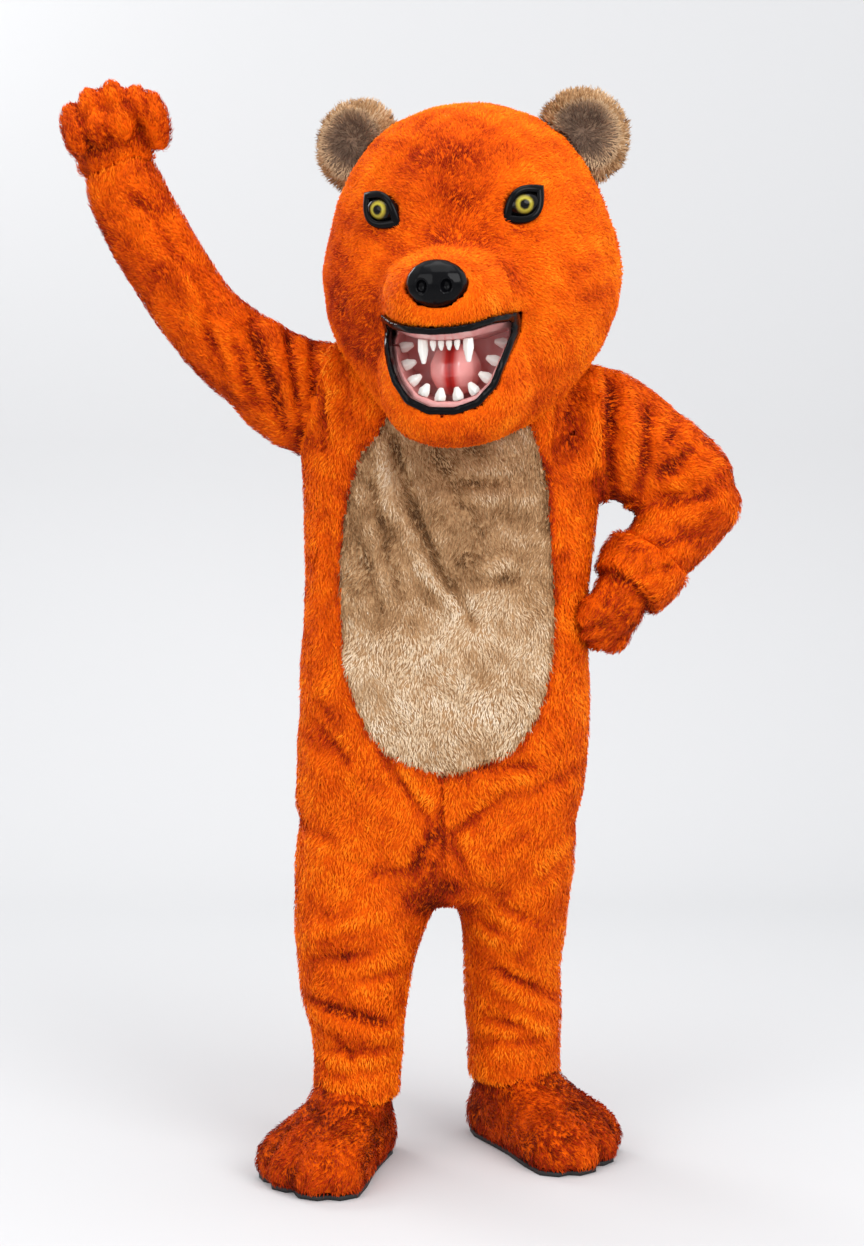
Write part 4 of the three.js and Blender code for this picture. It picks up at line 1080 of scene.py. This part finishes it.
def moulded(node, name, voxel, passes, look, swell=0.0):
    piece = link(bpy.data.objects.new(name, merged_copy([node], swell)))
    even_skin(piece, voxel)
    smoothed(piece, passes)
    fewer = piece.modifiers.new("fewer faces", "DECIMATE")
    fewer.ratio = 0.45
    mesh = finished_mesh(piece)
    if look == "lining":
        # Painted shade: black away from the gums and near the lips.
        off_gum = np.clip((gaps_to(gum_tree, places_of(mesh), FAR) - 0.006) / 0.006, 0, 1)
        by_lip = np.clip((0.026 - gaps_to(lip_tree, places_of(mesh), FAR)) / 0.008, 0, 1)
        paint = mesh.attributes.new("paint", "FLOAT", "POINT")
        paint.data.foreach_set("value", (off_gum * by_lip).astype(np.float32))
    mesh.materials.append(looks[look])
    mesh.shade_smooth()
    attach(piece, "root")
    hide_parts(node)
    return piece


moulds = [
    # solid, name, voxel, passes, look, swell
    ("nose", "nose_vinyl", 0.0022, 12, "black_gloss"),
    ("lip_rim", "lips", 0.003, 9, "black_gloss", 0.003),
    ("mouth_lining", "mouth_lining_latex", 0.0045, 3, "lining"),
    ("upper_gum", "upper_gum_latex", 0.003, 5, "gum_pink"),
    ("lower_gum", "lower_gum_latex", 0.003, 5, "gum_pink"),
    ("tongue", "tongue_latex", 0.0036, 8, "tongue_pink", 0.007),
]
moulds += [(node, node + "_plastic", 0.0019, 4, "tooth_ivory") for node in solids
           if node.startswith("tooth_")]
hard = [moulded(*row) for row in moulds]
print(len(hard), "moulded pieces,", sum(map(triangles_in, hard)), "triangles")

# %% Rubber soles


def make_sole(node):
    piece = link(bpy.data.objects.new(node + "_rubber", merged_copy([node])))
    bevel = piece.modifiers.new("rounded edge", "BEVEL")
    bevel.width = 0.002
    bevel.segments = 2
    bevel.limit_method = "ANGLE"
    mesh = finished_mesh(piece)
    mesh.materials.append(looks["black_rubber"])
    mesh.shade_smooth()
    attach(piece, "root")
    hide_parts(node)
    return piece


soles = [make_sole(node) for node in ("boot_sole_right", "boot_sole_left")]
print(len(soles), "soles")

# %% [markdown]
# ## Eyes
# Each eye is a glossy ball with a yellow-green iris and a dark pupil, drawn by distance from its own line
# of sight, in a black almond lid that dips towards the nose.

# %% Eyeballs and lids


def eye_place(node, side):
    middle = places_of(solids[node].data).mean(axis=0)
    turn = head_turn @ Matrix.Rotation(side * 0.42, 3, "Z") @ Matrix.Rotation(-side * 0.2, 3, "Y")
    return Matrix.Translation(middle) @ turn.to_4x4()


def eye_finish(name, place, side):
    finish = Finish(name, Roughness=0.07, Specular_IOR_Level=0.16)
    gaze = place.to_3x3() @ Vector((side * -0.12, -1, -0.05)).normalized()
    apart = finish.vector_of("SUBTRACT", finish.place(), tuple(place.translation))
    reach = finish.vector_of("LENGTH", finish.vector_of("CROSS_PRODUCT", apart, tuple(gaze)), output=1)
    streaks = finish.noise(260, 3, 0.7) * 0.10
    rings = stops((0.0, 6, 6, 6), (0.30, 6, 6, 4), (0.35, 96, 88, 26), (0.46, 168, 156, 50),
                  (0.62, 128, 114, 34), (0.72, 40, 34, 14), (0.8, 10, 9, 8))
    return finish.done(finish.ramp(reach * 44 + streaks - 0.05, rings))


def make_eyeball(side_name, side):
    node = "eyeball_" + side_name
    place = eye_place(node, side)
    bm = bmesh.new()
    size = Matrix.Diagonal((0.031, 0.0225, 0.0215, 1))
    bmesh.ops.create_uvsphere(bm, u_segments=40, v_segments=24, radius=1, matrix=place @ size)
    mesh = mesh_from(bm, node)
    mesh.shade_smooth()
    mesh.materials.append(eye_finish("eye_gloss_" + side_name, place, side))
    ball = link(bpy.data.objects.new(node + "_plastic", mesh))
    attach(ball, "root")
    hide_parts(node)
    return ball


def make_lid(side_name, side):
    """A rounded ring on a thin dish, drawn out to an almond."""
    node = "eyelid_" + side_name
    steps = 56
    bm = bmesh.new()
    upright = Matrix.Translation((1, 0, 0)) @ Matrix.Rotation(math.pi / 2, 4, "X")
    bmesh.ops.create_circle(bm, segments=16, radius=0.27, matrix=upright)
    profile = bm.verts[:] + bm.edges[:]
    bmesh.ops.spin(bm, geom=profile, cent=(0, 0, 0), axis=(0, 0, 1), angle=math.tau, steps=steps,
                   use_merge=True)
    bmesh.ops.remove_doubles(bm, verts=bm.verts, dist=1e-5)
    bmesh.ops.create_cone(bm, cap_ends=True, segments=steps, radius1=0.9, radius2=0.9, depth=0.2,
                          matrix=Matrix.Translation((0, 0, -0.3)))
    bmesh.ops.recalc_face_normals(bm, faces=bm.faces)
    for corner in bm.verts:
        across, up, thick = corner.co
        pinch = (abs(up) / max(math.hypot(across, up), 1e-6)) ** 1.25
        tall = 0.023 if up > 0 else 0.025
        depth = -0.0125 - thick * 0.022 + 0.008 * across * across
        corner.co = (across * 0.039, depth, up * pinch * tall)
    place = eye_place("eyeball_" + side_name, side) @ Matrix.Rotation(-side * 0.5, 4, "Y")
    bmesh.ops.transform(bm, matrix=place, verts=bm.verts)
    mesh = mesh_from(bm, node)
    mesh.shade_smooth()
    mesh.materials.append(looks["black_gloss"])
    lid = link(bpy.data.objects.new(node + "_vinyl", mesh))
    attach(lid, "root")
    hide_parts(node)
    return lid


for side_name, side in (("right", -1), ("left", 1)):
    make_eyeball(side_name, side)
    make_lid(side_name, side)
print("eyes made")

# %% [markdown]
# ## The centre back zip
# A woven tape lies between the two back panels, half hidden by their fur, with two rows of small teeth.

# %% Zip tape and teeth


def tape_finish():
    finish = Finish("zip_orange", Roughness=0.75)
    settings = {"bands_direction": "Z"}
    weave = finish.node("ShaderNodeTexWave", settings, {"Scale": 260.0, "Distortion": 0.6})
    return finish.done(finish.mix(weave, shade(150, 58, 12), shade(186, 80, 20)), weave, 0.4, 0.001)


def make_zip():
    """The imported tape, with a tooth every 3.4 mm up its back, left and right in turn."""
    tape = link(bpy.data.objects.new("zip_tape", merged_copy(["back_zip"])))
    tape.data.materials.append(tape_finish())
    tree, _ = tree_of(["back_zip"])
    points = places_of(tape.data)
    middle = points[:, 0].mean()
    bm = bmesh.new()
    pitch = 0.0034
    for i, height in enumerate(np.arange(points[:, 2].min() + 0.006, points[:, 2].max() - 0.004, pitch)):
        hit = tree.ray_cast(Vector((middle, 1, height)), Vector((0, -1, 0)))[0]
        if hit is None:
            continue
        spot = Matrix.Translation((middle + (-0.0011 if i % 2 else 0.0011), hit.y + 0.0008, height))
        bmesh.ops.create_cube(bm, size=1, matrix=spot @ Matrix.Diagonal((0.0034, 0.0024, 0.0022, 1)))
    mesh = mesh_from(bm, "zip_teeth")
    mesh.materials.append(Finish("zip_teeth", Roughness=0.35).done(shade(170, 70, 16)))
    teeth = link(bpy.data.objects.new("zip_teeth", mesh))
    for piece in (tape, teeth):
        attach(piece, "root")
    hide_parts("back_zip")
    return tape, teeth


tape, zip_teeth = make_zip()
print(len(zip_teeth.data.polygons) // 6, "zip teeth")
